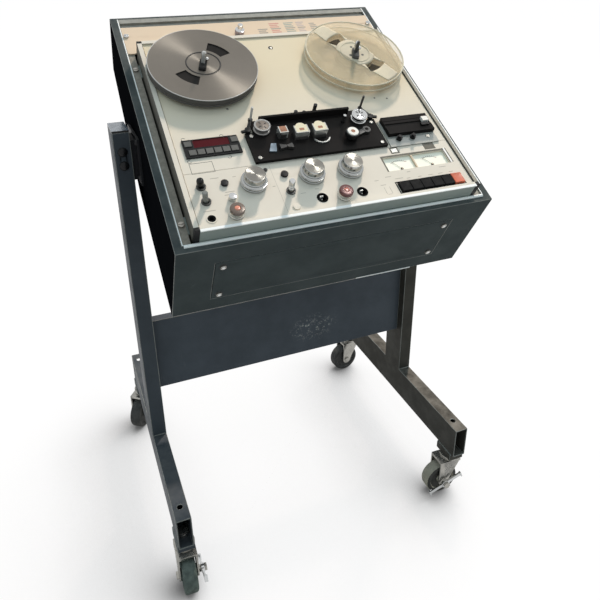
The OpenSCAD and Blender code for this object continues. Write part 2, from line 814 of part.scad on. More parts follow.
// Two level meters in one case under the panel's window
module meter_unit() color([0.93, 0.92, 0.83]) on_panel() {
  block(
    [meter_x[0] - 4, meter_v[0] - 3, deck_low - meter_case_h],
    [meter_x[1] + 4, meter_v[1] + 4, deck_low]
  );
  block(
    [meter_mid - 1, meter_v[0] + slip_gap, deck_low - eps],
    [meter_mid + 1, meter_v[1] - slip_gap, deck_top - 0.5]
  );
  for (x = meter_pivots) peg([x, meter_v[0] + 4], deck_low - eps, deck_low + 2, 2);
}

module needle(x) color([0.05, 0.05, 0.05]) on_panel()
  translate([x, meter_v[0] + 4, deck_low + 0.5]) difference() {
    union() {
      cylinder(d = 4.4, h = 0.8);
      rotate([0, 0, 125]) translate([0, -0.4, 0]) cube([needle_len, 0.8, 0.8]);
    }
    translate([0, 0, -cut]) cylinder(d = 2 + 2 * run_gap, h = 2 + cut);
  }

module needle_left() needle(meter_pivots[0]);

module needle_right() needle(meter_pivots[1]);

// Grooved block for cutting tape on its base, with two clamp knobs and a cutter cap
module splice_block() color([0.2, 0.2, 0.2]) on_panel() {
  base = deck_top + splice_base_t;
  top = base + splice_h;
  v = splice_v;
  block([splice_x[0], v - splice_front, deck_top], [splice_x[1], path_v, base]);
  difference() {
    block([splice_block_x, v, base], [splice_x[1], path_v, top]);
    block([splice_x[0], v + 15, top - 1.5], [splice_x[1] + cut, v + 21.5, top + cut]);
    block([splice_x[0], v + 27, top - 1], [splice_x[1] + cut, v + 28, top + cut]);
  }
  for (x = splice_knob_x) {
    peg([x, v - 7], base, base + splice_knob_h[0], splice_knob_d[0]);
    peg([x, v - 7], base + splice_knob_h[0] - eps, base + splice_knob_h[1], splice_knob_d[1]);
  }
  block(
    [splice_cap_x[0], v + splice_cap_v[0], top],
    [splice_cap_x[1], v + splice_cap_v[1], top + splice_cap_h]
  );
  block([cutter_x[0], v + cutter_v[0], top], [cutter_x[1], v + cutter_v[1], top + cutter_h]);
  peg([splice_screw_x, v - 8], base, base + 1.2, stub_d);
}

// Headphone jack, round sockets, toggle collars and the power inlet at the back
module sockets() color([0.07, 0.07, 0.07]) {
  on_panel() {
    difference() {
      union() {
        peg(jack_at, deck_top - 22, deck_top + 0.8, jack_d + 5);
        peg(jack_at, deck_top, deck_top + 0.8, jack_d + 8);
      }
      peg(jack_at, deck_top - 20, deck_top + 2, jack_d);
    }
    for (p = socket_at)
      difference() {
        union() {
          peg(p, deck_top - socket_depth - 4, deck_top + 0.6, socket_d + 3);
          peg(p, deck_top, deck_top + 0.6, socket_d + 5);
        }
        peg(p, deck_top + 0.6 - socket_depth, deck_top + 2, socket_d);
      }
    for (p = [toggle_black_at, toggle_grey_at, toggle_chrome_at])
      difference() {
        peg(p, deck_top, deck_top + 2.5, toggle_hole_d + 4);
        peg(p, deck_top - cut, deck_top + 4, toggle_hole_d);
      }
    power_inlet();
  }
}

module power_inlet() {
  w = inlet_w / 2 - slip_gap;
  h = inlet_h / 2 - slip_gap;
  back = cab_len - cab_lean;
  difference() {
    block([-w, inner_rear - 6, inlet_z - h], [w, back, inlet_z + h]);
    block([4 - w, inner_rear, inlet_z + 3 - h], [w - 4, back + cut, inlet_z + h - 3]);
  }
}

// Motor can under the deck with a bore for the shaft that it turns
module motor(at, d, bore) difference() {
  peg(at, deck_low - motor_len, deck_low, d);
  peg(at, deck_low - motor_len + 8, deck_low + cut, bore + 2 * run_gap);
}

module motors() color([0.35, 0.36, 0.38]) on_panel() {
  for (side = [-1, 1]) motor([side * reel_x, reel_v], motor_d, hub_shaft_d);
  motor(capstan_at, capstan_motor_d, capstan_d);
}

// Circuit board on four pillars under the front panel, and the transformer under the deck
module electronics() color([0.1, 0.35, 0.2]) on_panel() {
  block([board_x[0], board_v[0], board_low], [board_x[1], board_v[1], board_low + board_t]);
  for (x = pillar_x, v = pillar_v) peg([x, v], board_low + board_t - eps, deck_low, pillar_d);
  block([-core_x, core_v[0], deck_low - core_h], [core_x, core_v[1], deck_low]);
}

// Swivel fork, drawn with its wheel towards +x; long adds the axle end that carries a pedal
module caster_fork(long) color([0.6, 0.6, 0.58]) {
  plate_out = fork_in + fork_t;
  translate([0, 0, crown_top]) cylinder(d = race_d, h = race_t);
  translate([0, 0, crown_top + race_t - eps])
    cylinder(d = stem_d, h = pad_h + slip_gap + tube_wall + stem_head_h);
  translate([0, 0, leg_bottom + tube_wall + slip_gap]) cylinder(d = 20, h = stem_head_h);
  block([-16, -plate_out, crown_top - crown_t], [30, plate_out, crown_top + eps]);
  for (side = [-1, 1])
    translate([0, side * (fork_in + fork_t / 2) + fork_t / 2, 0])
      rotate([90, 0, 0]) linear_extrude(fork_t) {
        polygon([
          [-16, crown_top], [30, crown_top], [caster_trail + 11, wheel_r], [caster_trail - 11, wheel_r]
        ]);
        translate([caster_trail, wheel_r]) circle(d = 22);
      }
  axle_end = long ? axle_out : plate_out + nut_t;
  translate([caster_trail, 0, wheel_r]) rotate([-90, 0, 0]) {
    translate([0, 0, -plate_out - nut_t]) cylinder(d = axle_d, h = plate_out + nut_t + axle_end);
    translate([0, 0, -plate_out - nut_t]) cylinder(d = 14, h = nut_t, $fn = 6);
    translate([0, 0, plate_out]) cylinder(d = 14, h = nut_t, $fn = 6);
    if (long) translate([0, 0, axle_end - nut_t]) cylinder(d = 14, h = nut_t, $fn = 6);
  }
}

// Wheel with a rounded tyre, a sunk web and a bored hub
module caster_wheel() color([0.12, 0.12, 0.12]) {
  hub = fork_in - slip_gap;
  half = wheel_w / 2;
  edge = tyre_edge;
  bore = axle_d / 2 + run_gap;
  rim = wheel_r - tyre_h;
  web = half - web_sunk;
  turn = wheel_r - tyre_round;
  translate([caster_trail, 0, wheel_r]) rotate([90, 0, 0]) rotate_extrude() polygon([
    [bore, -hub], [hub_r, -hub], [hub_r, -web], [rim - 2, -web],
    [rim, -half], [wheel_r - edge, -half], [turn, edge / 3 - half], [wheel_r, edge - half],
    [wheel_r, half - edge], [turn, half - edge / 3], [wheel_r - edge, half], [rim, half],
    [rim - 2, web], [hub_r, web], [hub_r, hub], [bore, hub]
  ]);
}

// Rocking brake pedal on the axle's long end, with a foot plate at each end
module brake_pedal(slope) color([0.55, 0.55, 0.53])
  translate([caster_trail, pedal_in, wheel_r]) rotate([0, slope, 0]) difference() {
    union() {
      rotate([-90, 0, 0]) cylinder(d = 17, h = pedal_t);
      block([-pedal_len, 0, -3.5], [pedal_len, pedal_t - 2, 3.5]);
      for (end = [0, 1])
        mirror([end, 0, 0]) block([pedal_len - 3, 0, -6], [pedal_len, pedal_t, 6]);
    }
    translate([0, -cut, 0]) rotate([-90, 0, 0]) cylinder(d = axle_d + 2 * run_gap, h = pedal_t + 2 * cut);
  }

module caster_fork_fl() at_fl() caster_fork(true);

module caster_fork_fr() at_fr() caster_fork(true);

module caster_fork_rr() at_rr() caster_fork(false);

module caster_fork_rl() at_rl() caster_fork(false);

module caster_wheel_fl() at_fl() caster_wheel();

module caster_wheel_fr() at_fr() caster_wheel();

module caster_wheel_rr() at_rr() caster_wheel();

module caster_wheel_rl() at_rl() caster_wheel();

module brake_pedal_fl() at_fl() brake_pedal(pedal_set);

module brake_pedal_fr() at_fr() brake_pedal(pedal_free);

// Turntable with its motor shaft, spindle and the lever that locks the reel
module turntable(x) color([0.25, 0.25, 0.26]) on_panel() translate([x, reel_v, 0]) {
  peg([0, 0], deck_low - 40, deck_top + slip_gap + eps, hub_shaft_d);
  peg([0, 0], deck_top + slip_gap, reel_low, turntable_d);
  peg([0, 0], reel_low - eps, reel_top + spindle_up, spindle_d);
  rotate([0, 0, lock_angle]) {
    block([-6, -6, reel_top + slip_gap], [20, 6, reel_top + 6]);
    block([3, -2, reel_top + 6 - eps], [7, 2, reel_top + spindle_up + 4]);
  }
}

module turntable_left() turntable(-reel_x);

module turntable_right() turntable(reel_x);

// Reel with a hub and two windowed flanges, the windows turned by an angle
module reel(x, turn) on_panel() translate([x, reel_v, 0]) difference() {
  union() {
    peg([0, 0], reel_low, reel_top, reel_hub_d);
    for (z = [reel_low, reel_top - flange_t]) peg([0, 0], z, z + flange_t, reel_d);
  }
  peg([0, 0], reel_low - cut, reel_top + cut, spindle_d + 2 * run_gap);
  for (side = [0, 180])
    rotate([0, 0, turn + side]) translate([0, 0, reel_low - cut])
      rotate_extrude(angle = window_angle)
        translate([window_in, 0]) square([window_out - window_in, reel_t + 2 * cut]);
}

module supply_reel() color([0.6, 0.58, 0.55]) reel(-reel_x, supply_window);

module takeup_reel() color([0.88, 0.84, 0.66, 0.5]) reel(reel_x, takeup_window);

// Wound tape between the flanges of the supply reel
module tape_pack() color([0.28, 0.26, 0.25]) on_panel() translate([-reel_x, reel_v, 0]) difference() {
  gap = slip_gap / 2;
  peg([0, 0], reel_low + flange_t + gap, reel_top - flange_t - gap, pack_d);
  peg([0, 0], reel_low, reel_top, reel_hub_d + 2 * gap);
}

// Bar of an arm, a little thinner than the bosses that it joins
module arm_bar(reach, half_w, low)
  block([0, -half_w, low + arm_step], [reach, half_w, low + arm_t - arm_step]);

// Sprung arm beside the head block, with a tall pin that the tape leans on
module tension_arm() {
  low = floor_top + slip_gap;
  translate([tension_x, tension_v, 0]) {
    peg([0, 0], deck_low, low + cut, guide_pin_d);
    peg([0, 0], low, low + arm_t, arm_boss_d);
    rotate([0, 0, 180 - tension_angle]) {
      arm_bar(tension_reach, arm_boss_d / 4, low);
      peg([tension_reach, 0], low, low + arm_t, 2 * tension_pin_d);
      peg([tension_reach, 0], low + cut, low + tension_h, tension_pin_d);
    }
    rotate([0, 0, tail_angle]) arm_bar(tail_reach, arm_boss_d / 5, low);
  }
}

module tension_arm_left() color([0.08, 0.08, 0.08]) on_panel() mirror([1, 0, 0]) tension_arm();

module tension_arm_right() color([0.08, 0.08, 0.08]) on_panel() tension_arm();

// Flanged roller on a pin of the head block
module guide_roller(at) color([0.75, 0.75, 0.75]) on_panel()
  translate([at[0], at[1], floor_top + slip_gap]) difference() {
    union() {
      cylinder(d = guide_d, h = 3);
      translate([0, 0, 3 - eps]) cylinder(d = guide_d - 5, h = guide_h - 5);
      translate([0, 0, guide_h - 3 + eps]) cylinder(d = guide_d, h = 3);
    }
    translate([0, 0, -cut]) cylinder(d = guide_pin_d + 2 * run_gap, h = guide_h - 3 + cut);
  }

module guide_roller_left() guide_roller(guide_left);

module guide_roller_right() guide_roller(guide_right);

// Capstan shaft, driven by its motor under the deck
module capstan() color([0.8, 0.8, 0.8]) on_panel()
  peg(capstan_at, deck_low - 40, floor_top + capstan_up, capstan_d);

// Swinging arm over the plate, with the pin that the pinch roller turns on
module pinch_arm() color([0.3, 0.3, 0.3]) on_panel()
  translate([pinch_pivot[0], pinch_pivot[1], pinch_low]) difference() {
    union() {
      cylinder(d = arm_boss_d + 3, h = arm_t);
      rotate([0, 0, pinch_angle]) {
        arm_bar(pinch_reach, arm_boss_d * 0.4, 0);
        peg([pinch_reach, 0], 0, arm_t, arm_boss_d + 2);
        peg([pinch_reach, 0], arm_t - cut, arm_t + roller_h, guide_pin_d);
      }
    }
    translate([0, 0, -cut]) cylinder(d = guide_pin_d + 2 * run_gap, h = arm_t + 2 * cut);
  }

module pinch_roller() color([0.1, 0.1, 0.1]) on_panel() difference() {
  union() {
    peg(pinch_place(0), roller_low, roller_low + roller_h, pinch_d);
    peg(pinch_place(0), roller_low + roller_h - eps, roller_low + roller_h + pinch_cap_h, pinch_d - 4);
  }
  peg(pinch_place(0), roller_low - cut, roller_low + roller_h, guide_pin_d + 2 * run_gap);
}

// Stepped level knob on its shaft
module level_knob(x) color([0.8, 0.8, 0.78]) on_panel() translate([x, knob_v, 0]) {
  low = deck_top + slip_gap;
  skirt = knob_h * 0.35;
  peg([0, 0], deck_low - 10, low + eps, shaft_d);
  peg([0, 0], low, low + skirt, knob_d);
  translate([0, 0, low + skirt - eps]) cylinder(d1 = knob_d - 3, d2 = knob_top_d + 2, h = 2.5);
  peg([0, 0], low + skirt + 2.5 - 2 * eps, low + knob_h, knob_top_d);
}

module level_knob_1() level_knob(knob_x[0]);

module level_knob_2() level_knob(knob_x[1]);

module level_knob_3() level_knob(knob_x[2]);

// Small knob with a lamp in its top
module lamp_knob(at) color([0.7, 0.68, 0.66]) on_panel() {
  low = deck_top + slip_gap;
  peg(at, deck_low - 8, low + eps, shaft_d);
  difference() {
    peg(at, low, low + lamp_knob_h, lamp_knob_d);
    peg(at, low + lamp_knob_h - 1, low + lamp_knob_h + cut, lamp_knob_d * 0.5);
  }
}

module lamp_knob_1() lamp_knob(lamp_knob_at[0]);

module lamp_knob_2() lamp_knob(lamp_knob_at[1]);

// Toggle lever, held by its barrel in the panel's hole and leaning by an angle
module toggle(at, lean, d, len) on_panel()
  translate([at[0], at[1], deck_low + plate_t / 2]) rotate([0, -lean, 0]) {
    rotate([90, 0, 0]) cylinder(d = toggle_barrel_d, h = toggle_barrel_w, center = true);
    cylinder(d = min(d, toggle_hole_d - 3), h = 6);
    translate([0, 0, 6 - eps]) cylinder(d = d, h = len - 6);
  }

module toggle_black() color([0.07, 0.07, 0.07]) toggle(toggle_black_at, 8, 9, 18);

module toggle_grey() color([0.35, 0.36, 0.36]) toggle(toggle_grey_at, 10, 6.5, 24);

module toggle_chrome() color([0.7, 0.7, 0.7]) toggle(toggle_chrome_at, 10, 6.5, 26);

// Piano-type key in the slot of the front panel
module key(i) on_panel()
  block(
    [key_x0 + i * key_pitch, key_v, deck_top - key_low],
    [key_x0 + (i + 1) * key_pitch - slip_gap, key_v + key_len, deck_top + key_h]
  );

module key_1() color([0.07, 0.07, 0.07]) key(0);

module key_2() color([0.07, 0.07, 0.07]) key(1);

module key_3() color([0.07, 0.07, 0.07]) key(2);

module key_4() color([0.07, 0.07, 0.07]) key(3);

module key_5() color([0.07, 0.07, 0.07]) key(4);

module record_key() color([0.8, 0.35, 0.25]) key(5);

at_origin() left_side_frame();
at_origin() right_side_frame();
at_origin() cross_panel();
at_origin() end_caps();
at_origin() cabinet_brackets();
at_origin() fasteners();
at_origin() cabinet_shell();
at_origin() service_panel();
at_origin() mounting_frame();
at_origin() filler_panel();
at_origin() deck_frame();
at_origin() deck_plate();
at_origin() control_panel();
at_origin() head_block();
at_origin() tape_heads();
at_origin() counter_module();
at_origin() push_buttons();
at_origin() meter_unit();
at_origin() splice_block();
at_origin() sockets();
at_origin() motors();
at_origin() electronics();
at_origin() caster_fork_fl();
at_origin() caster_fork_fr();
at_origin() caster_fork_rr();
at_origin() caster_fork_rl();
at_origin() caster_wheel_fl();
at_origin() caster_wheel_fr();
at_origin() caster_wheel_rr();
at_origin() caster_wheel_rl();
at_origin() brake_pedal_fl();
at_origin() brake_pedal_fr();
at_origin() turntable_left();
at_origin() turntable_right();
at_origin() supply_reel();
at_origin() takeup_reel();
at_origin() tape_pack();
at_origin() tension_arm_left();
at_origin() tension_arm_right();
at_origin() guide_roller_left();
at_origin() guide_roller_right();
at_origin() capstan();
at_origin() pinch_arm();
at_origin() pinch_roller();
at_origin() level_knob_1();
at_origin() level_knob_2();
at_origin() level_knob_3();
at_origin() lamp_knob_1();
at_origin() lamp_knob_2();
at_origin() toggle_black();
at_origin() toggle_grey();
at_origin() toggle_chrome();
at_origin() key_1();
at_origin() key_2();
at_origin() key_3();
at_origin() key_4();
at_origin() key_5();
at_origin() record_key();
at_origin() needle_left();
at_origin() needle_right();
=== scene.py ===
"""Looks of an open-reel tape recorder on its wheeled stand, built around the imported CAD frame.

Pieces are worked out in the sloped panel's own axes in millimetres: x across, v up the slope, h out of
the rim. They are turned into the frame's metres just before a mesh is made. The camera and the scuff on
the cross panel are in the stand's axes, which are upright and in millimetres too.
"""
import json
import math

import bmesh
import bpy
import numpy as np
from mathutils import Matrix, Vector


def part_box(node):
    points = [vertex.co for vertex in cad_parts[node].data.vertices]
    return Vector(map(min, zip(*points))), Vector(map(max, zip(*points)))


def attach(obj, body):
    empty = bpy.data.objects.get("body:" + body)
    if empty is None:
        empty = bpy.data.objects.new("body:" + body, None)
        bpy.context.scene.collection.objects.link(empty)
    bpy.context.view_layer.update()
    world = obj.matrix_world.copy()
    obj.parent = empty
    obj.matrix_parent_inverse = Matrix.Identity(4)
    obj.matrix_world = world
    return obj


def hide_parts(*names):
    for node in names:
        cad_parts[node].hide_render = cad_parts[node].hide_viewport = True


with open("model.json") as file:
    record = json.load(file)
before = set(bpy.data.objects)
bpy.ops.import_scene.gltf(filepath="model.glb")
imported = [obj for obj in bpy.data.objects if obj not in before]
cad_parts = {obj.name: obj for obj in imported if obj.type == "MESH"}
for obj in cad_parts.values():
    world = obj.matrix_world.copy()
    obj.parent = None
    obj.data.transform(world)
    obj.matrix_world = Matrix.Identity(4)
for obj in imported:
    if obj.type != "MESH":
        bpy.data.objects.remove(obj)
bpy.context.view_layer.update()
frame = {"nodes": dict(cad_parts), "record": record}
nodes = frame["nodes"]

# The stand's middle, read from its two side frames, and the slope of the panel
LEFT_LOW, LEFT_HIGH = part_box("left_side_frame")
RIGHT_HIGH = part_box("right_side_frame")[1]
LEG_BACK = 261.0
SHIFT = np.array([(LEFT_LOW.x + RIGHT_HIGH.x) * 500, LEFT_HIGH.y * 1000 - LEG_BACK, 0.0])
TILT = math.radians(30.5)
RIM = np.array([0.0, -280.0, 679.0])
DECK = 24.5

# Distances in metres at which points are merged, the angle of a sharp edge, and the rounding of edges
SEAM, POLE, CAD_SEAM = 2e-6, 1e-7, 1e-5
SHARP = math.radians(38)
ROUND_STEPS, ROUND_ANGLE = 2, math.radians(40)


def stand(points):
    """Stand axes in millimetres to the frame's metres: a shift to the frame's origin."""
    return (np.asarray(points, float) + SHIFT) / 1000


def panel(points):
    """Panel axes in millimetres to the frame's metres: a turn by the slope about x, then the rim's place."""
    p = np.asarray(points, float)
    c, s = math.cos(TILT), math.sin(TILT)
    turned = np.stack([p[..., 0], p[..., 1] * c - p[..., 2] * s, p[..., 1] * s + p[..., 2] * c], -1)
    return stand(turned + RIM)


# Surfaces on grids


def grid_quads(rows, cols):
    """Corner numbers of a grid's quads, so that the normal is along (next column) x (next row)."""
    r, c = np.meshgrid(np.arange(rows - 1), np.arange(cols - 1), indexing="ij")
    a = r * cols + c
    return np.stack([a, a + 1, a + cols + 1, a + cols], -1).reshape(-1, 4)


def lathe(profile, at=(0, 0), n=72, start=0.0, sweep=360.0):
    """A profile of (radius, height) turned about an axis: x = r cos a, y = r sin a, z = height."""
    prof = np.asarray(profile, float)
    a = np.radians(start + np.linspace(0, sweep, n + 1))
    r, z = prof[:, :1], prof[:, 1:]
    x = at[0] + r * np.cos(a)
    y = at[1] + r * np.sin(a)
    return np.stack([x, y, np.broadcast_to(z, x.shape)], -1)


def rod(radius, low, high, at, n):
    """A closed upright cylinder."""
    return lathe([(0, low), (radius, low), (radius, high), (0, high)], at, n)


def prism(outline, levels):
    """An outline carried up through levels of (height, scale about its middle, with 0 as a closed cap)."""
    ring = np.asarray(outline, float)
    mid = ring.mean(0)
    ring = np.vstack([ring, ring[:1]])
    lev = np.asarray(levels, float)
    xy = mid + (ring - mid)[None] * lev[:, 1][:, None, None]
    z = np.broadcast_to(lev[:, 0][:, None, None], xy.shape[:2] + (1,))
    return np.concatenate([xy, z], -1)


def block(low, high):
    """A box as a rectangle carried from its floor to its top, closed at both ends."""
    (x0, y0, z0), (x1, y1, z1) = low, high
    return prism([(x0, y0), (x1, y0), (x1, y1), (x0, y1)], [(z0, 0), (z0, 1), (z1, 1), (z1, 0)])


def round_rect(x0, y0, x1, y1, radius, k=6):
    """Outline of a rectangle whose corners are quarter circles of k steps."""
    a = np.radians(np.linspace(0, 90, k + 1))
    corners = [(x1 - radius, y1 - radius, 0), (x0 + radius, y1 - radius, 90),
               (x0 + radius, y0 + radius, 180), (x1 - radius, y0 + radius, 270)]
    turns = [(cx, cy, a + math.radians(t)) for cx, cy, t in corners]
    return np.vstack([np.stack([cx + radius * np.cos(t), cy + radius * np.sin(t)], -1) for cx, cy, t in turns])


def turned(points, angle, about):
    """Points turned about an upright axis through (x, y), by an angle in degrees."""
    a = math.radians(angle)
    p = np.asarray(points, float) - np.array([about[0], about[1], 0])
    q = np.stack([p[..., 0] * math.cos(a) - p[..., 1] * math.sin(a),
                  p[..., 0] * math.sin(a) + p[..., 1] * math.cos(a), p[..., 2]], -1)
    return q + np.array([about[0], about[1], 0])


def linked(name, data):
    """A new object in the scene."""
    obj = bpy.data.objects.new(name, data)
    bpy.context.scene.collection.objects.link(obj)
    return obj


def paint(mesh, finishes):
    """Gives a mesh these finishes and no others."""
    mesh.materials.clear()
    for one in finishes:
        mesh.materials.append(one)


def shaded(name, mesh, smooth):
    """A mesh as an object, smooth between its sharp edges or flat all over."""
    if smooth:
        mesh.shade_smooth()
        mesh.set_sharp_from_angle(angle=SHARP)
    else:
        mesh.shade_flat()
    return linked(name, mesh)


class Piece:
    """One object made of several grid surfaces, each with its own finish."""

    def __init__(self, name, *finishes):
        self.name, self.finishes = name, finishes
        self.points, self.quads, self.marks, self.uvs = [], [], [], []
        self.count = 0

    def add(self, grid, finish=0, keep=None):
        """Adds a grid, with u along a row and v down it as its UV; keep masks the quads that are drawn."""
        rows, cols = grid.shape[:2]
        quads = grid_quads(rows, cols)
        if keep is not None:
            quads = quads[np.asarray(keep).reshape(-1)]
        run = np.linalg.norm(np.diff(grid[:, 0], axis=0), axis=1)
        v, u = np.meshgrid(np.concatenate([[0], np.cumsum(run)]) / 100, np.linspace(0, 1, cols), indexing="ij")
        self.points.append(grid.reshape(-1, 3))
        self.uvs.append(np.stack([u, v], -1).reshape(-1, 2))
        self.quads.append(quads + self.count)
        self.marks.append(np.full(len(quads), finish))
        self.count += rows * cols

    def place(self, body, replaces=(), wall=0.0, rim=0, flat=False):
        """Makes the mesh, closes its seams and poles, and rides it on a body.

        A wall thickens it, in millimetres, with the finish that is rim steps on at its edges.
        """
        points = panel(np.vstack(self.points))
        quads = np.vstack(self.quads)
        uv = np.vstack(self.uvs)
        mesh = bpy.data.meshes.new(self.name)
        mesh.from_pydata(points.tolist(), [], quads.tolist())
        paint(mesh, self.finishes)
        mesh.polygons.foreach_set("material_index", np.concatenate(self.marks).astype(np.int32))
        layer = mesh.uv_layers.new(name="turning")
        layer.data.foreach_set("uv", uv[quads.reshape(-1)].astype(np.float32).reshape(-1))
        work = bmesh.new()
        work.from_mesh(mesh)
        bmesh.ops.remove_doubles(work, verts=work.verts, dist=SEAM)
        bmesh.ops.dissolve_degenerate(work, edges=work.edges, dist=POLE)
        work.to_mesh(mesh)
        work.free()
        obj = shaded(self.name, mesh, not flat)
        if wall:
            solid = obj.modifiers.new("wall", "SOLIDIFY")
            solid.thickness, solid.offset, solid.material_offset_rim = wall / 1000, -1, rim
        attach(obj, body)
        if replaces:
            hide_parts(*replaces)


# A face looks along an axis when its direction has more than this along it
FACING = 0.7

BODY_OF = {n: body for body, held in frame["record"]["behaviour"]["bodies"].items() for n in held}


def in_panel(points, way=False):
    """The frame's metres back to panel axes in millimetres; a direction is only turned."""
    p = np.asarray(points, float)
    if not way:
        p = p * 1000 - SHIFT - RIM
    c, s = math.cos(TILT), math.sin(TILT)
    return np.stack([p[..., 0], p[..., 1] * c + p[..., 2] * s, p[..., 2] * c - p[..., 1] * s], -1)


def dressed(node, *finishes, bevel, pick=None, curved=False, worn=None):
    """A copy of a CAD node, merged, with edges rounded by a bevel in millimetres.

    Pick gives each face's finish from its middle p and direction n in panel axes. Worn is the finish of the
    rounded edges.
    """
    work = bmesh.new()
    work.from_mesh(nodes[node].data)
    bmesh.ops.remove_doubles(work, verts=work.verts, dist=CAD_SEAM)
    mesh = bpy.data.meshes.new(node + "_dressed")
    work.to_mesh(mesh)
    work.free()
    paint(mesh, finishes + ((worn,) if worn else ()))
    count = len(mesh.polygons)
    index = np.zeros(count, np.int32)
    if pick:
        mids, ways = np.empty(count * 3, np.float32), np.empty(count * 3, np.float32)
        mesh.polygons.foreach_get("center", mids)
        mesh.polygons.foreach_get("normal", ways)
        mids, ways = in_panel(mids.reshape(-1, 3)), in_panel(ways.reshape(-1, 3), True)
        index = np.asarray(pick(mids.T, ways.T), np.int32)
    mesh.polygons.foreach_set("material_index", index)
    obj = shaded(node + "_dressed", mesh, curved)
    soft = obj.modifiers.new("soft_edges", "BEVEL")
    soft.width, soft.segments = bevel / 1000, ROUND_STEPS
    soft.limit_method, soft.angle_limit = "ANGLE", ROUND_ANGLE
    soft.harden_normals, soft.use_clamp_overlap = curved, True
    soft.material = len(finishes) if worn else -1
    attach(obj, BODY_OF[node])
    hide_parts(node)


# Finishes


def srgb(r, g, b):
    """A colour written in 0 to 255 as the eye sees it, turned to linear light."""
    c = np.array([r, g, b], float) / 255
    return tuple(np.where(c <= 0.04045, c / 12.92, ((c + 0.055) / 1.055) ** 2.4).tolist())


def add_node(tree, kind, inputs=(), **settings):
    """Adds a shader node; inputs are values or sockets by name or number, and settings are its own options."""
    node = tree.nodes.new("ShaderNode" + kind)
    for label, value in settings.items():
        setattr(node, label, value)
    for label, value in dict(inputs).items():
        if isinstance(value, bpy.types.NodeSocket):
            tree.links.new(value, node.inputs[label])
        elif node.inputs[label].type == "RGBA":
            node.inputs[label].default_value = (*value[:3], 1.0)
        else:
            node.inputs[label].default_value = value
    return node


def math_node(tree, op, a, b, clamp=False):
    """A Math node of two values or sockets; gives its result."""
    return add_node(tree, "Math", {0: a, 1: b}, operation=op, use_clamp=clamp).outputs[0]


def mix_colour(tree, factor, a, b, blend="MIX"):
    """A colour Mix node; gives its colour."""
    return add_node(tree, "Mix", {0: factor, 6: a, 7: b}, data_type="RGBA", blend_type=blend).outputs[2]


def noise(tree, vector, scale, detail, rough):
    """A Noise texture; gives its value."""
    sockets = {"Vector": vector, "Scale": scale, "Detail": detail, "Roughness": rough}
    return add_node(tree, "TexNoise", sockets).outputs["Fac"]


def ramp(tree, value, low, high):
    """Value stretched so that low is 0 and high is 1, with a smooth step."""
    sockets = {"Value": value, "From Min": low, "From Max": high}
    return add_node(tree, "MapRange", sockets, interpolation_type="SMOOTHSTEP").outputs["Result"]


def axis_of(tree, vector, axis):
    """One of a vector's three values."""
    return add_node(tree, "SeparateXYZ", {"Vector": vector}).outputs[axis]


def new_group(name, inputs, outputs):
    """A node group whose inputs have values, with None for a vector; gives it, what it is given and what it gives."""
    group = bpy.data.node_groups.new(name, "ShaderNodeTree")
    for label, value in inputs.items():
        kind = "Vector" if value is None else "Color" if isinstance(value, tuple) else "Float"
        sock = group.interface.new_socket(label, in_out="INPUT", socket_type="NodeSocket" + kind)
        if value is not None:
            sock.default_value = value
    for label, kind in outputs.items():
        group.interface.new_socket(label, in_out="OUTPUT", socket_type="NodeSocket" + kind)
    return group, group.nodes.new("NodeGroupInput").outputs, group.nodes.new("NodeGroupOutput").inputs


WHITE = (1.0, 1.0, 1.0, 1.0)


def darken(group, given, gives, mask, shade):
    """Gives a group's colour, multiplied by a shade as far as a mask and the group's amount go."""
    amount = math_node(group, "MULTIPLY", mask, given["Amount"])
    dark = mix_colour(group, 1.0, given["Color"], shade, "MULTIPLY")
    group.links.new(mix_colour(group, amount, given["Color"], dark), gives["Color"])


def make_mottle():
    """Slow clouds that darken the colour, and their mask."""
    group, given, gives = new_group("mottle", {"Vector": None, "Color": WHITE, "Scale": 20.0, "Amount": 0.1},
                                    {"Color": "Color", "Mask": "Float"})
    mask = ramp(group, noise(group, given["Vector"], given["Scale"], 5.0, 0.6), 0.32, 0.68)
    darken(group, given, gives, mask, (0.55, 0.55, 0.56))
    group.links.new(mask, gives["Mask"])


def make_scuffs():
    """Thin bright rubs: a fine stretched noise inside slow patches."""
    group, given, gives = new_group("scuffs", {"Vector": None, "Color": WHITE, "Rub": WHITE, "Amount": 0.3},
                                    {"Color": "Color"})
    stretch = {"Vector": given["Vector"], "Scale": (1.0, 1.0, 0.25), "Rotation": (0.3, 0.5, 0.2)}
    fine = noise(group, add_node(group, "Mapping", stretch).outputs["Vector"], 40.0, 6.0, 0.75)
    slow = noise(group, given["Vector"], 9.0, 2.0, 0.5)
    mask = math_node(group, "MULTIPLY", ramp(group, fine, 0.6, 0.74), ramp(group, slow, 0.5, 0.72))
    mask = math_node(group, "MULTIPLY", mask, given["Amount"], True)
    group.links.new(mix_colour(group, mask, given["Color"], given["Rub"]), gives["Color"])


def make_dust():
    """Pale clouds on the faces that look up."""
    group, given, gives = new_group("dust", {"Vector": None, "Color": WHITE, "Amount": 0.2}, {"Color": "Color"})
    normal = add_node(group, "NewGeometry").outputs["Normal"]
    up = ramp(group, axis_of(group, normal, "Z"), 0.35, 0.95)
    cloud = ramp(group, noise(group, given["Vector"], 26.0, 5.0, 0.65), 0.3, 0.75)
    mask = math_node(group, "MULTIPLY", math_node(group, "MULTIPLY", up, cloud), given["Amount"], True)
    group.links.new(mix_colour(group, mask, given["Color"], (0.42, 0.4, 0.35)), gives["Color"])


def make_grain():
    """A fine bump."""
    group, given, gives = new_group("grain", {"Vector": None, "Scale": 900.0, "Strength": 0.1}, {"Normal": "Vector"})
    height = noise(group, given["Vector"], given["Scale"], 2.0, 0.5)
    bump = add_node(group, "Bump", {"Distance": 0.0005, "Strength": given["Strength"], "Height": height})
    group.links.new(bump.outputs["Normal"], gives["Normal"])


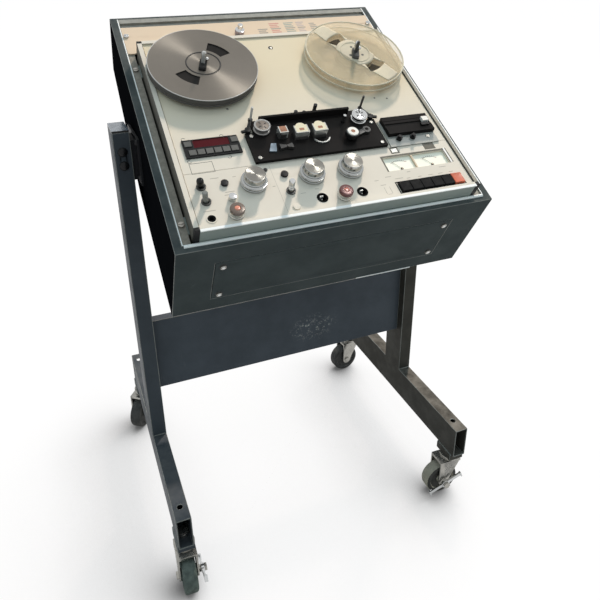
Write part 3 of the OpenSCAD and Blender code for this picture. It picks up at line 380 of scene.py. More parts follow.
def make_turning():
    """Fine lathe rings: a noise along the UV's v alone, which darkens the colour, and its height."""
    group, given, gives = new_group("turning", {"Vector": None, "Color": WHITE, "Pitch": 200.0, "Amount": 0.2},
                                    {"Color": "Color", "Height": "Float"})
    along = add_node(group, "CombineXYZ", {"X": axis_of(group, given["Vector"], "Y")}).outputs["Vector"]
    rings = noise(group, along, given["Pitch"], 3.0, 0.7)
    darken(group, given, gives, ramp(group, rings, 0.35, 0.65), (0.45, 0.45, 0.45))
    group.links.new(rings, gives["Height"])


for make_group in (make_mottle, make_scuffs, make_dust, make_grain, make_turning):
    make_group()


def use_group(tree, name, **sockets):
    """Places a group, with values or sockets for its inputs; gives its outputs."""
    return add_node(tree, "Group", sockets, node_tree=bpy.data.node_groups[name]).outputs


def start_material(name, **sockets):
    """A new material; gives the material, its tree, its shader's inputs and the Object coordinates."""
    mat = bpy.data.materials.new(name)
    mat.use_nodes = True
    tree = mat.node_tree
    surface = tree.nodes["Principled BSDF"].inputs
    for label, value in sockets.items():
        surface[label.replace("_", " ")].default_value = value
    return mat, tree, surface, add_node(tree, "TexCoord").outputs["Object"]


def rubbed_spot(tree, coords, colour, middle, reach, rub):
    """Fine scratches round one place: a soft egg of the object's coordinates times a thin noise."""
    away = add_node(tree, "VectorMath", {0: coords, 1: middle}, operation="SUBTRACT").outputs["Vector"]
    away = add_node(tree, "VectorMath", {0: away, 1: reach}, operation="DIVIDE").outputs["Vector"]
    away = add_node(tree, "VectorMath", {0: away}, operation="LENGTH").outputs["Value"]
    near = math_node(tree, "SUBTRACT", 1.0, ramp(tree, away, 0.3, 1.0))
    lines = ramp(tree, noise(tree, coords, 170.0, 6.0, 0.8), 0.53, 0.62)
    return mix_colour(tree, math_node(tree, "MULTIPLY", near, lines), colour, rub)


def finish(name, colour, rough=0.5, metal=0.0, shine=0.5, mottle=0.2, patch=25.0, scuff=0.0, rub=(0.4, 0.4, 0.38),
           dust=0.0, grain=0.1, fine=900.0, vary=0.12, spot=None, fade=None):
    """A worn surface: mottled colour, rubs and dust over it, a fine grain, and roughness that follows the mottle.

    The colour is in 0 to 255. A spot is (middle, reach, colour) of scratches, and a fade tints the colour
    from one height to another. Patch and fine are the scales of mottle and grain.
    """
    mat, tree, surface, coords = start_material(name, Metallic=metal, Specular_IOR_Level=shine)
    clouds = use_group(tree, "mottle", Vector=coords, Color=srgb(*colour), Scale=patch, Amount=mottle)
    shown = clouds["Color"]
    if scuff:
        shown = use_group(tree, "scuffs", Vector=coords, Color=shown, Rub=rub, Amount=scuff)["Color"]
    if dust:
        shown = use_group(tree, "dust", Vector=coords, Color=shown, Amount=dust)["Color"]
    if spot:
        shown = rubbed_spot(tree, coords, shown, *spot)
    if fade:
        low, high, tint = fade
        tinted = mix_colour(tree, 1.0, shown, tint, "MULTIPLY")
        shown = mix_colour(tree, ramp(tree, axis_of(tree, coords, "Z"), low, high), shown, tinted)
    tree.links.new(shown, surface["Base Color"])
    change = math_node(tree, "MULTIPLY", clouds["Mask"], vary)
    tree.links.new(math_node(tree, "ADD", change, rough - vary / 2, True), surface["Roughness"])
    bumps = use_group(tree, "grain", Vector=coords, Scale=fine, Strength=grain)
    tree.links.new(bumps["Normal"], surface["Normal"])
    return mat


def spun(name, colour, rough, aniso, pitch, amount, metal=1.0):
    """Metal turned on a lathe: fine rings across the piece's UV, with the gloss drawn out across them."""
    mat, tree, surface, coords = start_material(name, Metallic=metal, Anisotropic=aniso, Anisotropic_Rotation=0.25)
    uv = add_node(tree, "UVMap", uv_map="turning").outputs["UV"]
    lie = add_node(tree, "Tangent", direction_type="UV_MAP", uv_map="turning").outputs["Tangent"]
    tree.links.new(lie, surface["Tangent"])
    rings = use_group(tree, "turning", Vector=uv, Color=srgb(*colour), Pitch=pitch, Amount=amount)
    worn = use_group(tree, "mottle", Vector=coords, Color=rings["Color"], Scale=40.0, Amount=0.1)
    tree.links.new(worn["Color"], surface["Base Color"])
    change = math_node(tree, "MULTIPLY", rings["Height"], 0.06)
    tree.links.new(math_node(tree, "ADD", change, rough - 0.03, True), surface["Roughness"])
    bump = add_node(tree, "Bump", {"Strength": 0.06, "Distance": 0.0002, "Height": rings["Height"]})
    tree.links.new(bump.outputs["Normal"], surface["Normal"])
    return mat


def see_through(name, colour, alpha, rough=0.18):
    """Clear moulded plastic: part of the light passes, with faint clouding in its colour."""
    mat = finish(name, colour, rough, mottle=0.4, patch=24, grain=0.02)
    mat.node_tree.nodes["Principled BSDF"].inputs["Alpha"].default_value = alpha
    return mat


# Stand and cabinet
PAINT_STAND = finish("stand_paint", (64, 70, 75), shine=0.16, mottle=0.35, patch=14, scuff=0.35,
                     rub=srgb(120, 118, 110), dust=0.1, grain=0.12, fine=700)
PAINT_WORN = finish("stand_paint_worn", (66, 64, 58), shine=0.08, mottle=0.5, patch=30, scuff=0.7,
                    rub=srgb(120, 112, 98), dust=0.35, grain=0.15, fine=700)
SCUFF_AT, SCUFF_REACH = tuple(stand((60.0, 8.0, 328.0)).tolist()), (0.072, 0.05, 0.042)
PAINT_CROSS = finish("cross_paint", (76, 82, 88), shine=0.12, mottle=0.4, patch=14, scuff=0.4, grain=0.12, fine=700,
                     rub=srgb(130, 130, 126), spot=(SCUFF_AT, SCUFF_REACH, srgb(178, 178, 172)))
WORN_EDGE = finish("worn_edge", (124, 126, 120), mottle=0.9, patch=45, scuff=0.8, rub=srgb(214, 214, 206))
PAINT_CABINET = finish("cabinet_paint", (71, 78, 78), 0.7, shine=0.05, mottle=0.3, patch=18, scuff=0.25,
                       rub=srgb(120, 125, 120), dust=0.15, grain=0.5, fine=1100)
PAINT_SIDES_DARK = finish("cabinet_sides_dark", (19, 19, 21), 0.9, shine=0.0, mottle=0.3, patch=30, scuff=0.1, grain=0.5)
PAINT_BRACKET = finish("bracket_paint", (34, 34, 36), shine=0.1)
ALUMINIUM_STRIP = finish("strip_aluminium", (146, 142, 130), 0.5, 0.15, mottle=0.6, patch=120, scuff=0.5,
                         rub=srgb(80, 82, 78), grain=0.2, fine=1500)
RAIL_GREY = finish("rail_grey", (150, 150, 142), 0.5, 0.2, mottle=0.4, patch=90, scuff=0.3)
# Dark tan copy of the frame's aluminium for its faces that look left: painted shade
FRAME_SIDE_SHADE = finish("frame_side_painted_shade", (98, 95, 86), 0.6, mottle=0.5, patch=60, scuff=0.3)
# Near-white for painted highlights along edges, and for a worn patch on the cabinet's lower edge
EDGE_HIGHLIGHT_AND_WEAR = finish("edge_painted_highlight_and_wear", (246, 248, 244), mottle=0.04)
CREAM = finish("cream_paint", (218, 198, 172), shine=0.2, mottle=0.06, patch=8, grain=0.05)
# Greyer, greener copy of the frame's aluminium for its front and outer faces: painted shade
FRAME_SHADE = finish("frame_painted_shade", (142, 152, 145), mottle=0.15, patch=12, scuff=0.15, grain=0.06)
DECK_PAINT = dict(colour=(220, 213, 198), metal=0.05, shine=0.2, mottle=0.07, patch=7, grain=0.06, fine=1400)
DECK_CREAM = finish("deck_cream", fade=(0.755, 0.875, (1.0, 0.945, 0.8)), **DECK_PAINT)
DECK_SILVER = finish("deck_silver", **DECK_PAINT)
# Tan copy of the frame's aluminium for the top of its right rail: painted shade
RIGHT_RAIL_SHADE = finish("right_rail_painted_shade", (150, 145, 130), 0.5, 0.1, mottle=0.4, patch=140)
# Bluish grey for the post caps' tops: a painted sky reflection, with real scuffs
CAP_TOP_SHEEN = finish("cap_top_painted_sheen", (128, 138, 148), 0.2, 0.3, mottle=0.8, patch=90, scuff=0.5)
TYRE = finish("tyre", (58, 58, 56), 0.8, mottle=0.5, patch=70, dust=0.3, grain=0.3)
TYRE_DUSTY = finish("tyre_dusty", (96, 106, 98), 0.85, mottle=1.0, patch=70, scuff=1.0, rub=srgb(210, 216, 206),
                    grain=0.3)
TYRE_PALE = finish("tyre_pale", (172, 166, 148), 0.8, mottle=0.6, patch=50, grain=0.2)
TYRE_DARK = finish("tyre_dark", (40, 41, 36), 0.7, mottle=0.6, patch=90, grain=0.2)

# Metals
ZINC = finish("zinc", (170, 168, 161), 0.3, 0.85, mottle=0.4, patch=60, scuff=0.3, rub=srgb(90, 84, 74))
CHROME = finish("chrome", (196, 198, 198), 0.14, 1.0, mottle=0.08, grain=0.01, vary=0.06)
STEEL = finish("steel", (150, 150, 148), 0.4, 0.9)
REEL_METAL = spun("reel_spun", (130, 124, 115), 0.42, 0.92, 130.0, 0.25, 0.65)
KNOB_TOP = spun("knob_spun", (140, 138, 132), 0.28, 0.95, 160.0, 0.15)
KNOB_RING = spun("knob_polish", (168, 171, 170), 0.14, 0.3, 80.0, 0.1)
LIGHT_GREY = finish("light_grey", (186, 186, 182), 0.35, 0.4, mottle=0.1)
PURPLE_GREY = finish("purple_grey", (150, 146, 156), 0.25, 0.8, patch=90)
BROWN_GREY = finish("brown_grey", (126, 116, 106), 0.4, 0.3, mottle=0.3, patch=90)
COPPER = finish("copper_top", (150, 106, 80), 0.45, 0.3, mottle=0.4, patch=80)
PALE_BODY = finish("pale_body", (206, 204, 196), 0.18, 0.5, patch=70)
# Bluish grey for the chrome tab on the head plate: a painted sky reflection
TAB_SHEEN = finish("tab_painted_sheen", (138, 152, 164), 0.45, 0.2, mottle=0.7, patch=110)
LEVER_GREY = finish("lever_grey", (132, 134, 128), 0.4, 0.2, mottle=0.3, patch=120)
LAMP_BROWN = finish("lamp_brown", (108, 94, 84), 0.3, 0.2)
LAMP_WINE = finish("lamp_wine", (98, 58, 56), 0.3, 0.2)

# Plastics
BLACK_COVER = finish("black_cover", (28, 26, 25), shine=0.05, scuff=0.1, grain=0.06)
BLACK_PLASTIC = finish("black_plastic", (24, 24, 25), 0.4, shine=0.2, dust=0.05, grain=0.08)
MATTE_BLACK = finish("matte_black", (14, 14, 14), 0.8, shine=0.08, mottle=0.1)
BLACK_GLOSS = finish("black_gloss", (18, 18, 19), 0.25, shine=0.25, mottle=0.15, grain=0.02)
BLACK_KEY = finish("black_key", (20, 20, 20), shine=0.08, mottle=0.3, patch=140)
RED_KEY = finish("record_red", (203, 98, 64), 0.4, mottle=0.15, patch=160, grain=0.05)
TRAY_GREY = finish("tray_grey", (164, 164, 156), 0.4, mottle=0.1, grain=0.05)
GREY_PLASTIC = finish("grey_plastic", (84, 84, 80), mottle=0.25, patch=120, grain=0.08)
DARK_GREY = finish("dark_grey", (62, 62, 60), 0.4)
METER_FACE = finish("meter_face", (246, 246, 228), mottle=0.03, grain=0.02)
CREAM_TOP = finish("cream_top", (226, 216, 184), 0.35, mottle=0.15, patch=60)
WHITE_CAP = finish("white_cap", (236, 232, 222), 0.35, mottle=0.05)
DISPLAY_RED = finish("display_red", (76, 12, 20), shine=0.1, mottle=0.3, patch=60, grain=0.0)
LAMP_ORANGE = finish("lamp_orange", (224, 146, 120), 0.2, mottle=0.1)
LAMP_MAROON = finish("lamp_maroon", (196, 132, 118), 0.2, mottle=0.1)
BOARD = finish("board_green", (40, 90, 60))
# The tape's windings; also painted shade on the metal reel's lower bead
TAPE_AND_RIM_SHADE = finish("tape_windings_and_rim_shade", (92, 90, 86), 0.6, shine=0.2)
PACK_TOP = finish("tape_top", (34, 32, 30), 0.6, shine=0.1, mottle=0.3)
REEL_CLEAR = see_through("reel_clear", (228, 212, 176), 0.36)
REEL_BAND = see_through("reel_band", (238, 228, 200), 0.72, 0.3)
RIM_CLEAR = see_through("reel_rim", (238, 230, 204), 0.8, 0.12)
# Dark see-through sheet for the take-up reel's windows: painted shade
WINDOW_SHADE = see_through("window_painted_shade", (70, 62, 48), 0.75)

# Inks; the olive one also paints shade by the meter window
INK = finish("ink_black", (46, 44, 42))
INK_FAINT = finish("ink_faint", (176, 169, 154))
INK_GREY = finish("ink_grey", (160, 152, 140))
# Olive for print and plates, and for painted shade along the meter window's edges
OLIVE_INK_AND_SHADE = finish("olive_ink_and_painted_shade", (84, 80, 66))
INK_RED = finish("ink_red", (200, 146, 132), mottle=0.15)
INK_GREEN = finish("ink_green", (158, 164, 152), mottle=0.15)
INK_ROSE = finish("ink_rose", (188, 174, 166), mottle=0.15)
INK_WHITE = finish("ink_white", (244, 242, 236), mottle=0.05)
NEEDLE_PALE = finish("needle_pale", (196, 193, 178), mottle=0.1)

# The CAD nodes that stay visible as they are
for name, shade in (("capstan", CHROME), ("motors", STEEL), ("electronics", BOARD)):
    paint(nodes[name].data, [shade])

# Reels on their turntables

REEL_X, REEL_V, REEL_LOW, REEL_TOP = 136.0, 325.0, 31.0, 44.0
REEL_R, FLANGE_T, HUB_R, BORE_R = 89.0, 1.3, 29.0, 4.1
WINDOW_IN, WINDOW_OUT, WINDOW_ANGLE = 34.0, 54.0, 46.0
LEFT_WINDOWS, RIGHT_WINDOWS = (22, 202), (98, 278)
SUPPLY, TAKEUP = (-REEL_X, REEL_V), (REEL_X, REEL_V)

# Where turned pieces sit, just over the deck
SEAT = 24.9


def flange(at, height, windows):
    """A flat ring, radius by angle, at one height, and the mask that leaves out the quads of its windows."""
    r = np.array([REEL_R - 0.8, 84, 76, 66, WINDOW_OUT, 44, WINDOW_IN, HUB_R, 18, BORE_R])
    a = np.radians(np.arange(0, 361, 2.0))
    x, y = at[0] + r[:, None] * np.cos(a), at[1] + r[:, None] * np.sin(a)
    mid_r, mid_a = ((r[:-1] + r[1:]) / 2)[:, None], np.arange(1, 361, 2.0)[None]
    turn = np.min([(mid_a - w) % 360 for w in windows], axis=0)
    inside = (mid_r > WINDOW_IN) & (mid_r < WINDOW_OUT) & (turn < WINDOW_ANGLE)
    return np.stack([x, y, np.full_like(x, height)], -1), ~inside


def bead(at, radius, height, thick):
    """A round bead: a small circle turned about the reel's axis."""
    a = np.linspace(-math.pi, math.pi, 11)
    return lathe(np.stack([radius + thick * np.cos(a), height + thick * np.sin(a)], -1), at, 120)


def make_reel(node, body, at, windows, face, edge, low_edge, hub, walls, thick):
    """Two windowed flanges with a wall, and a hub with beads round both flanges."""
    plates = Piece(node + "_flanges", face, walls)
    for height in (REEL_LOW + FLANGE_T, REEL_TOP):
        grid, drawn = flange(at, height, windows)
        plates.add(grid, 0, drawn)
    plates.place(body, replaces=(node,), wall=FLANGE_T, rim=1, flat=True)
    core = Piece(node + "_hub", hub, edge, low_edge)
    top = REEL_TOP - 0.1
    core.add(lathe([(BORE_R, REEL_LOW), (HUB_R, REEL_LOW), (HUB_R, top), (BORE_R, top), (BORE_R, REEL_LOW)], at))
    for height, shade in ((REEL_LOW + FLANGE_T / 2, 2), (REEL_TOP - FLANGE_T / 2, 1)):
        core.add(bead(at, REEL_R - thick, height, thick), shade)
    core.place(body, replaces=(node,))


# On the metal reel the top flange's bead is light grey, a painted highlight, and the lower bead has the tape's dark
# grey, painted shade
make_reel("supply_reel", "supply_side", SUPPLY, LEFT_WINDOWS,
          REEL_METAL, LIGHT_GREY, TAPE_AND_RIM_SHADE, REEL_METAL, INK, 0.8)
make_reel("takeup_reel", "takeup_side", TAKEUP, RIGHT_WINDOWS,
          REEL_CLEAR, RIM_CLEAR, RIM_CLEAR, REEL_BAND, RIM_CLEAR, 1.3)

ring = Piece("supply_hub_ring", INK)
ring.add(bead(SUPPLY, 27.5, REEL_TOP, 1.1))
ring.place("supply_side")

PACK_IN, PACK_R, PACK_LOW, PACK_HIGH = HUB_R + 0.2, 86.5, REEL_LOW + 1.5, REEL_TOP - 1.5
pack = Piece("tape_wound", TAPE_AND_RIM_SHADE, PACK_TOP)
pack.add(lathe([(PACK_IN, PACK_LOW), (PACK_R, PACK_LOW), (PACK_R, PACK_HIGH)], SUPPLY, 120))
pack.add(lathe([(PACK_R, PACK_HIGH), (PACK_IN, PACK_HIGH), (PACK_IN, PACK_LOW)], SUPPLY, 120), 1)
pack.place("supply_side", replaces=("tape_pack",))


def band_parts(half, end_half, reach):
    """The stiff band across the clear reel: middle, ends and strips beside the windows, each a flat grid."""
    slope = (half - end_half) / reach
    side = np.linspace(-1, 1, 25)[:, None]
    parts = []
    for sign in (1, -1):
        out = np.linspace(0, 1, 9)[None]
        t = side * end_half * 1.1
        near = np.sqrt(WINDOW_OUT ** 2 - t ** 2)
        far = np.sqrt(reach ** 2 - t ** 2)
        s = near + (far - near) * out
        parts.append((sign * s, sign * side * (half - slope * s)))
        r = np.linspace(WINDOW_IN, WINDOW_OUT, 7)[None]
        low = math.radians(WINDOW_ANGLE / 2)
        for flip in (1, -1):
            high = np.arcsin(np.clip((half - slope * r * 0.93) / r, 0, 0.99))
            a = low + (np.maximum(high, low + 0.01) - low) * np.linspace(0, 1, 5)[:, None]
            s, t = r * np.cos(a), flip * r * np.sin(a)
            parts.append((sign * s[::flip], sign * t[::flip]))
    t = side * half
    s = np.sqrt(WINDOW_IN ** 2 - t ** 2) * np.linspace(-1, 1, 13)[None]
    parts.append((s, np.broadcast_to(t, s.shape)))
    return parts


BAND_ANGLE, BAND_T, BAND_HALF, BAND_END, BAND_REACH = 121, 0.35, 23.0, 15.0, 85.0
band = Piece("takeup_band", REEL_BAND)
for s, t in band_parts(BAND_HALF, BAND_END, BAND_REACH):
    flat = np.stack([TAKEUP[0] + s, TAKEUP[1] + t, np.full_like(s, REEL_TOP + BAND_T)], -1)
    band.add(turned(flat, BAND_ANGLE, TAKEUP))
band.place("takeup_side", wall=BAND_T)

# Painted shade: a dark sheet in each window of the take-up reel, just over its lower flange, where the windows look
# into the shade under the reel
for start in RIGHT_WINDOWS:
    shade_sheet = Piece("takeup_window_shade_%d" % start, WINDOW_SHADE)
    low, high = REEL_LOW + 1.0, REEL_LOW + 1.4
    shade_sheet.add(lathe([(WINDOW_OUT, low), (WINDOW_OUT, high), (WINDOW_IN, high), (WINDOW_IN, low), (WINDOW_OUT, low)],
                   TAKEUP, 24, start, WINDOW_ANGLE))
    shade_sheet.place("takeup_side")

hub = Piece("takeup_hub_ring", REEL_BAND, DARK_GREY)
hub.add(bead(TAKEUP, 26.0, REEL_TOP + 0.4, 0.8))
# Three dark grey discs stand for the hub's holes: painted shade of their insides
HOLE_RING = 14
for angle in (98, 212, 320):
    a = math.radians(angle)
    spot = (TAKEUP[0] + HOLE_RING * math.cos(a), TAKEUP[1] + HOLE_RING * math.sin(a))
    hub.add(rod(2.4, REEL_TOP + 0.2, REEL_TOP + 0.42, spot, 20), 1)
hub.place("takeup_side")

# Turned profiles are (radius, height), and a lock's levels are (height, scale)
PLATTER = [(0, SEAT), (33, SEAT), (34, 25.6), (34, 27.2), (33.2, 27.6), (33.2, 28.2), (34, 28.6), (34, 30.4),
           (33.2, REEL_LOW), (0, REEL_LOW)]
SPINDLE = [(4, REEL_LOW), (4, 64.6), (3, 66), (0, 66)]
LOCK_FOOT = [(44.5, 0), (44.5, 1), (48.6, 0.97), (50, 0.88), (50, 0)]
LOCK_LEVER = [(49.8, 0), (49.8, 1.15), (60, 1.0), (68.5, 0.92), (70, 0.6), (70, 0)]
LOCK_ANGLE, BALL_R, BALL_MID = 250, 3.2, 53


def make_turntable(node, body, at, post, base):
    """A grooved platter, a spindle, and the reel lock: a rounded foot with an upright lever."""
    table = Piece(node + "_platter", base, CHROME)
    table.add(lathe(PLATTER, at, 90))
    table.add(lathe(SPINDLE, at, 28), 1)
    table.add(rod(5, -19, SEAT, at, 28), 1)
    table.place(body, replaces=(node,))
    lock = Piece(node + "_lock", base, post, CHROME)
    foot = round_rect(at[0] - 6, at[1] - 6, at[0] + 20, at[1] + 6, 3)
    lock.add(turned(prism(foot, LOCK_FOOT), LOCK_ANGLE, at))
    lever = round_rect(at[0] + 2.6, at[1] - 2.6, at[0] + 7.4, at[1] + 2.6, 1.6)
    lock.add(turned(prism(lever, LOCK_LEVER), LOCK_ANGLE, at), 1)
    up = np.radians(np.linspace(-90, 90, 13))
    ball = np.stack([BALL_R * np.cos(up), BALL_MID + BALL_R * np.sin(up)], -1)
    lock.add(lathe(ball, (at[0] + 5.6, at[1] - 1), 24), 2)
    lock.place(body, replaces=(node,))


make_turntable("turntable_left", "supply_side", SUPPLY, LIGHT_GREY, BLACK_PLASTIC)
make_turntable("turntable_right", "takeup_side", TAKEUP, DARK_GREY, DARK_GREY)

# Level knobs, lamp knobs, keys and toggles; the knobs' profiles are (radius, height over their seat)

LEVEL_X, LEVEL_V, LEVEL_TOP = (-123.3, -33.3, 29.3), 81.5, 19.5
LEVEL_RINGS = [(0, 0), (18.8, 0), (19.5, 0.6), (19.5, 2.4), (18.8, 2.9), (18.2, 3.1), (18.2, 3.9), (18.8, 4.1),
               (19.5, 4.7), (19.5, 6.0), (19, 6.7), (16.4, 7.1), (15.9, 7.6), (15.9, 9.6), (15.4, 10.1), (15.2, 10.3)]
LEVEL_WALL = [(15.2, 10.3), (15.1, 10.8), (15.1, 19.0), (14.5, 19.8)]
LEVEL_FACE = [(14.5, 19.8), (13.8, 20), (13.3, 19.8), (8, 19.6), (3, LEVEL_TOP), (0, LEVEL_TOP)]
LINE_FROM, LINE_TO, LINE_TURN = 92.0, 94.6, 35
LAMP_FOOT = [(0, 0), (10.2, 0), (10.5, 0.4), (10.5, 2), (9.8, 2.5), (9.8, 8.2)]
LAMP_CAP = [(9.8, 8.2), (10.5, 8.8), (10.5, 12.4), (9.9, 13.6), (8.6, 14), (4.6, 14), (4.1, 13.4)]
LAMP_LENS = [(4.1, 13.4), (3.6, 13.9), (2.2, 14.2), (0, 14.3)]
LAMPS = (((-163.0, 32.0), LAMP_BROWN, LAMP_ORANGE), ((0.5, 34.0), LAMP_WINE, LAMP_MAROON))


def seated(profile):
    """A knob's profile, raised to its seat."""
    return [(r, SEAT + h) for r, h in profile]


for i, x in enumerate(LEVEL_X, 1):
    knob = Piece("level_knob_%d_turned" % i, KNOB_TOP, KNOB_RING, INK)
    at = (x, LEVEL_V)
    for profile, shade in ((LEVEL_RINGS, 1), (LEVEL_WALL, 1), (LEVEL_FACE, 0)):
        knob.add(lathe(seated(profile), at, 96), shade)
    line = block((x - 0.4, LINE_FROM, SEAT + 19.4), (x + 0.4, LINE_TO, SEAT + 19.95))
    knob.add(turned(line, LINE_TURN, at), 2)
    knob.add(rod(3, 11, SEAT, at, 20), 1)
    knob.place("level_%d" % i, replaces=("level_knob_%d" % i,))

for i, (at, cap, lens) in enumerate(LAMPS, 1):
    lamp = Piece("lamp_knob_%d_turned" % i, PALE_BODY, cap, lens)
    for shade, profile in enumerate((LAMP_FOOT, LAMP_CAP, LAMP_LENS)):
        lamp.add(lathe(seated(profile), at, 64), shade)
    lamp.add(rod(3, 13, SEAT, at, 20), 0)
    lamp.place("lamp_%d" % i, replaces=("lamp_knob_%d" % i,))

KEY_PITCH, KEY_X, KEY_V, KEY_LONG, KEY_GAP = 18.6, 92.0, 23.0, 19, 0.4
KEY_RISE = [(17.5, 0), (17.5, 1), (27.4, 1), (28.2, 0.97), (28.5, 0.92), (28.2, 0.75), (28.0, 0.4), (28.0, 0)]
for i in range(6):
    x = KEY_X + i * KEY_PITCH
    node, shade = ("record_key", RED_KEY) if i == 5 else ("key_%d" % (i + 1), BLACK_KEY)
    key = Piece(node + "_cap", shade)
    key.add(prism(round_rect(x, KEY_V, x + KEY_PITCH - KEY_GAP, KEY_V + KEY_LONG, 1.0, 4), KEY_RISE))
    key.place(node + "_cap", replaces=(node,))

TOGGLE_BALL = 22.75


def make_toggle(node, body, at, lean, profile, shade):
    """A lever turned from a profile of (radius, height over its ball), leaning to the left by an angle."""
    a = math.radians(lean)
    shape = lathe(profile, n=28)
    leaned = np.stack([shape[..., 0] * math.cos(a) - shape[..., 2] * math.sin(a), shape[..., 1],
                       shape[..., 0] * math.sin(a) + shape[..., 2] * math.cos(a)], -1)
    lever = Piece(node + "_lever", shade)
    lever.add(leaned + np.array([at[0], at[1], TOGGLE_BALL]))
    lever.place(body, replaces=(node,))


make_toggle("toggle_black", "lever_black", (-198.5, 87.5), 8,
            [(0, -3.4), (3, -2), (3.4, 0), (3, 4), (2.6, 6), (4, 7.5), (5, 9), (5.2, 11), (5.2, 15.5), (4.6, 17.8),
             (3, 19), (0, 19.3)], BLACK_GLOSS)
make_toggle("toggle_grey", "lever_grey", (-198.0, 60.5), 8,
            [(0, -3.4), (3, -2), (3.2, 0), (2.8, 5), (3.4, 6), (3.9, 6.6), (3.9, 9), (3.2, 9.5), (3.9, 10.1),
             (3.9, 12.5), (3.2, 13), (3.9, 13.6), (3.9, 16), (3.2, 16.5), (3.9, 17.1), (3.9, 22.4), (3.2, 23.6),
             (0, 24)], LEVER_GREY)
make_toggle("toggle_chrome", "lever_chrome", (-74.5, 57.5), 5,
            [(0, -3.4), (3, -2), (3.2, 0), (2.6, 5), (2.8, 7), (4.4, 7.6), (4.4, 10.6), (3.9, 11.2), (4.4, 11.8),
             (4.4, 14.8), (3.9, 15.4), (4.4, 16), (4.4, 24.6), (3.8, 25.6), (0, 26)], CHROME)

# Tape path

ROLLER_X, ROLLER_V = 82.3, 177.2
ROLLER_SIDE = [(3.2, 30.4), (12.5, 30.4), (13, 30.8), (13, 32.6), (12.4, 33.2), (10.5, 33.5), (10.5, 38.3),
               (12.4, 38.6), (13, 39.2), (13, 40.8), (12.5, 41.4), (10.6, 41.4), (10, 40.8)]
ROLLER_TOP = [(10, 40.8), (4, 40.9), (3.4, 41.3), (0, 41.3)]
for node, body, x, side, top in (("guide_roller_left", "guide_left", -ROLLER_X, STEEL, BROWN_GREY),
                                 ("guide_roller_right", "guide_right", ROLLER_X, CHROME, CHROME)):
    at = (x, ROLLER_V)
    roller = Piece(node + "_turned", side, top, INK)
    roller.add(lathe(ROLLER_SIDE, at, 64), 0)
    roller.add(lathe(ROLLER_TOP, at, 48), 1)
    for turn in (30, 120):
        roller.add(turned(block((x - 8, ROLLER_V - 0.9, 40.6), (x + 8, ROLLER_V + 0.9, 41.1)), turn, at), 2)
    roller.place(body, replaces=(node,))

PINCH_PIVOT, PINCH_ARM, PINCH_WAY = (85, 150), 32.6, math.radians(198)
PINCH = (PINCH_PIVOT[0] + PINCH_ARM * math.cos(PINCH_WAY), PINCH_PIVOT[1] + PINCH_ARM * math.sin(PINCH_WAY))
pinch = Piece("pinch_roller_turned", BLACK_PLASTIC, WHITE_CAP, COPPER)
pinch.add(lathe([(3.2, 34.9), (10.4, 34.9), (11, 35.5), (11, 42.3), (10.4, 42.9), (9, 42.9)], PINCH, 56), 0)
pinch.add(lathe([(9, 42.9), (9, 44), (8.5, 44.5), (3.4, 44.5)], PINCH, 56), 1)
pinch.add(lathe([(3.4, 44.5), (3.0, 44.7), (0, 44.7)], PINCH, 40), 2)
pinch.place("pinch_wheel", replaces=("pinch_roller",))

dressed("head_block", BLACK_COVER, bevel=0.4)
PLATE_FITTINGS = 32.2
# The chrome tab by the heads gets a painted sky reflection in bluish grey
dressed("tape_heads", PALE_BODY, COPPER, CREAM_TOP, BLACK_PLASTIC, STEEL, TAB_SHEEN, LIGHT_GREY, bevel=0.4,
        pick=lambda p, n: np.select(
            [p[1] > 200, (p[2] < PLATE_FITTINGS) & (p[0] < -60), (p[2] < PLATE_FITTINGS) & (p[1] < 146),
             (n[2] > FACING) & (p[2] > 42), p[2] < 38.3],
            [3, 5, 6, np.where(p[0] < -40, 1, 2), 4], 0))
HEADS = ((-37.2, -15.2, 148.5, 164.5, 45.0), (-6.6, 15.4, 148.5, 164.5, 45.0), (-61.6, -47.7, 154.0, 167.5, 44.0))
HEAD_WALL = 1.6
faces = Piece("head_faces", PALE_BODY, INK, COPPER)
for x0, x1, v0, v1, top in HEADS:
    inner = v0 + HEAD_WALL
    walls = ((x0, v0, x1, inner), (x0, inner, x0 + HEAD_WALL, v1), (x1 - HEAD_WALL, inner, x1, v1))
    for ax, av, bx, bv in walls:
        faces.add(block((ax, av, top - 0.1), (bx, bv, top + 0.25)), 0)
    mid = (x0 + x1) / 2
    faces.add(prism(round_rect(mid - 4, v0 + 5, mid + 4, v0 + 10, 1.5),
                    [(top - 0.1, 0), (top - 0.1, 1), (top + 0.15, 0.96), (top + 0.15, 0)]), 2)
faces.add(block((-59.2, 153.5, 33.5), (-50.2, 154.2, 39.5)), 1)
faces.place("stand")
for side, stalk in (("left", LIGHT_GREY), ("right", INK)):
    dressed("tension_arm_" + side, BLACK_PLASTIC, stalk, bevel=0.3, curved=True,
            pick=lambda p, n: np.where(p[2] > 36, 1, 0))
dressed("pinch_arm", DARK_GREY, bevel=0.3, curved=True)

# Counter, buttons, meters, splice block and sockets

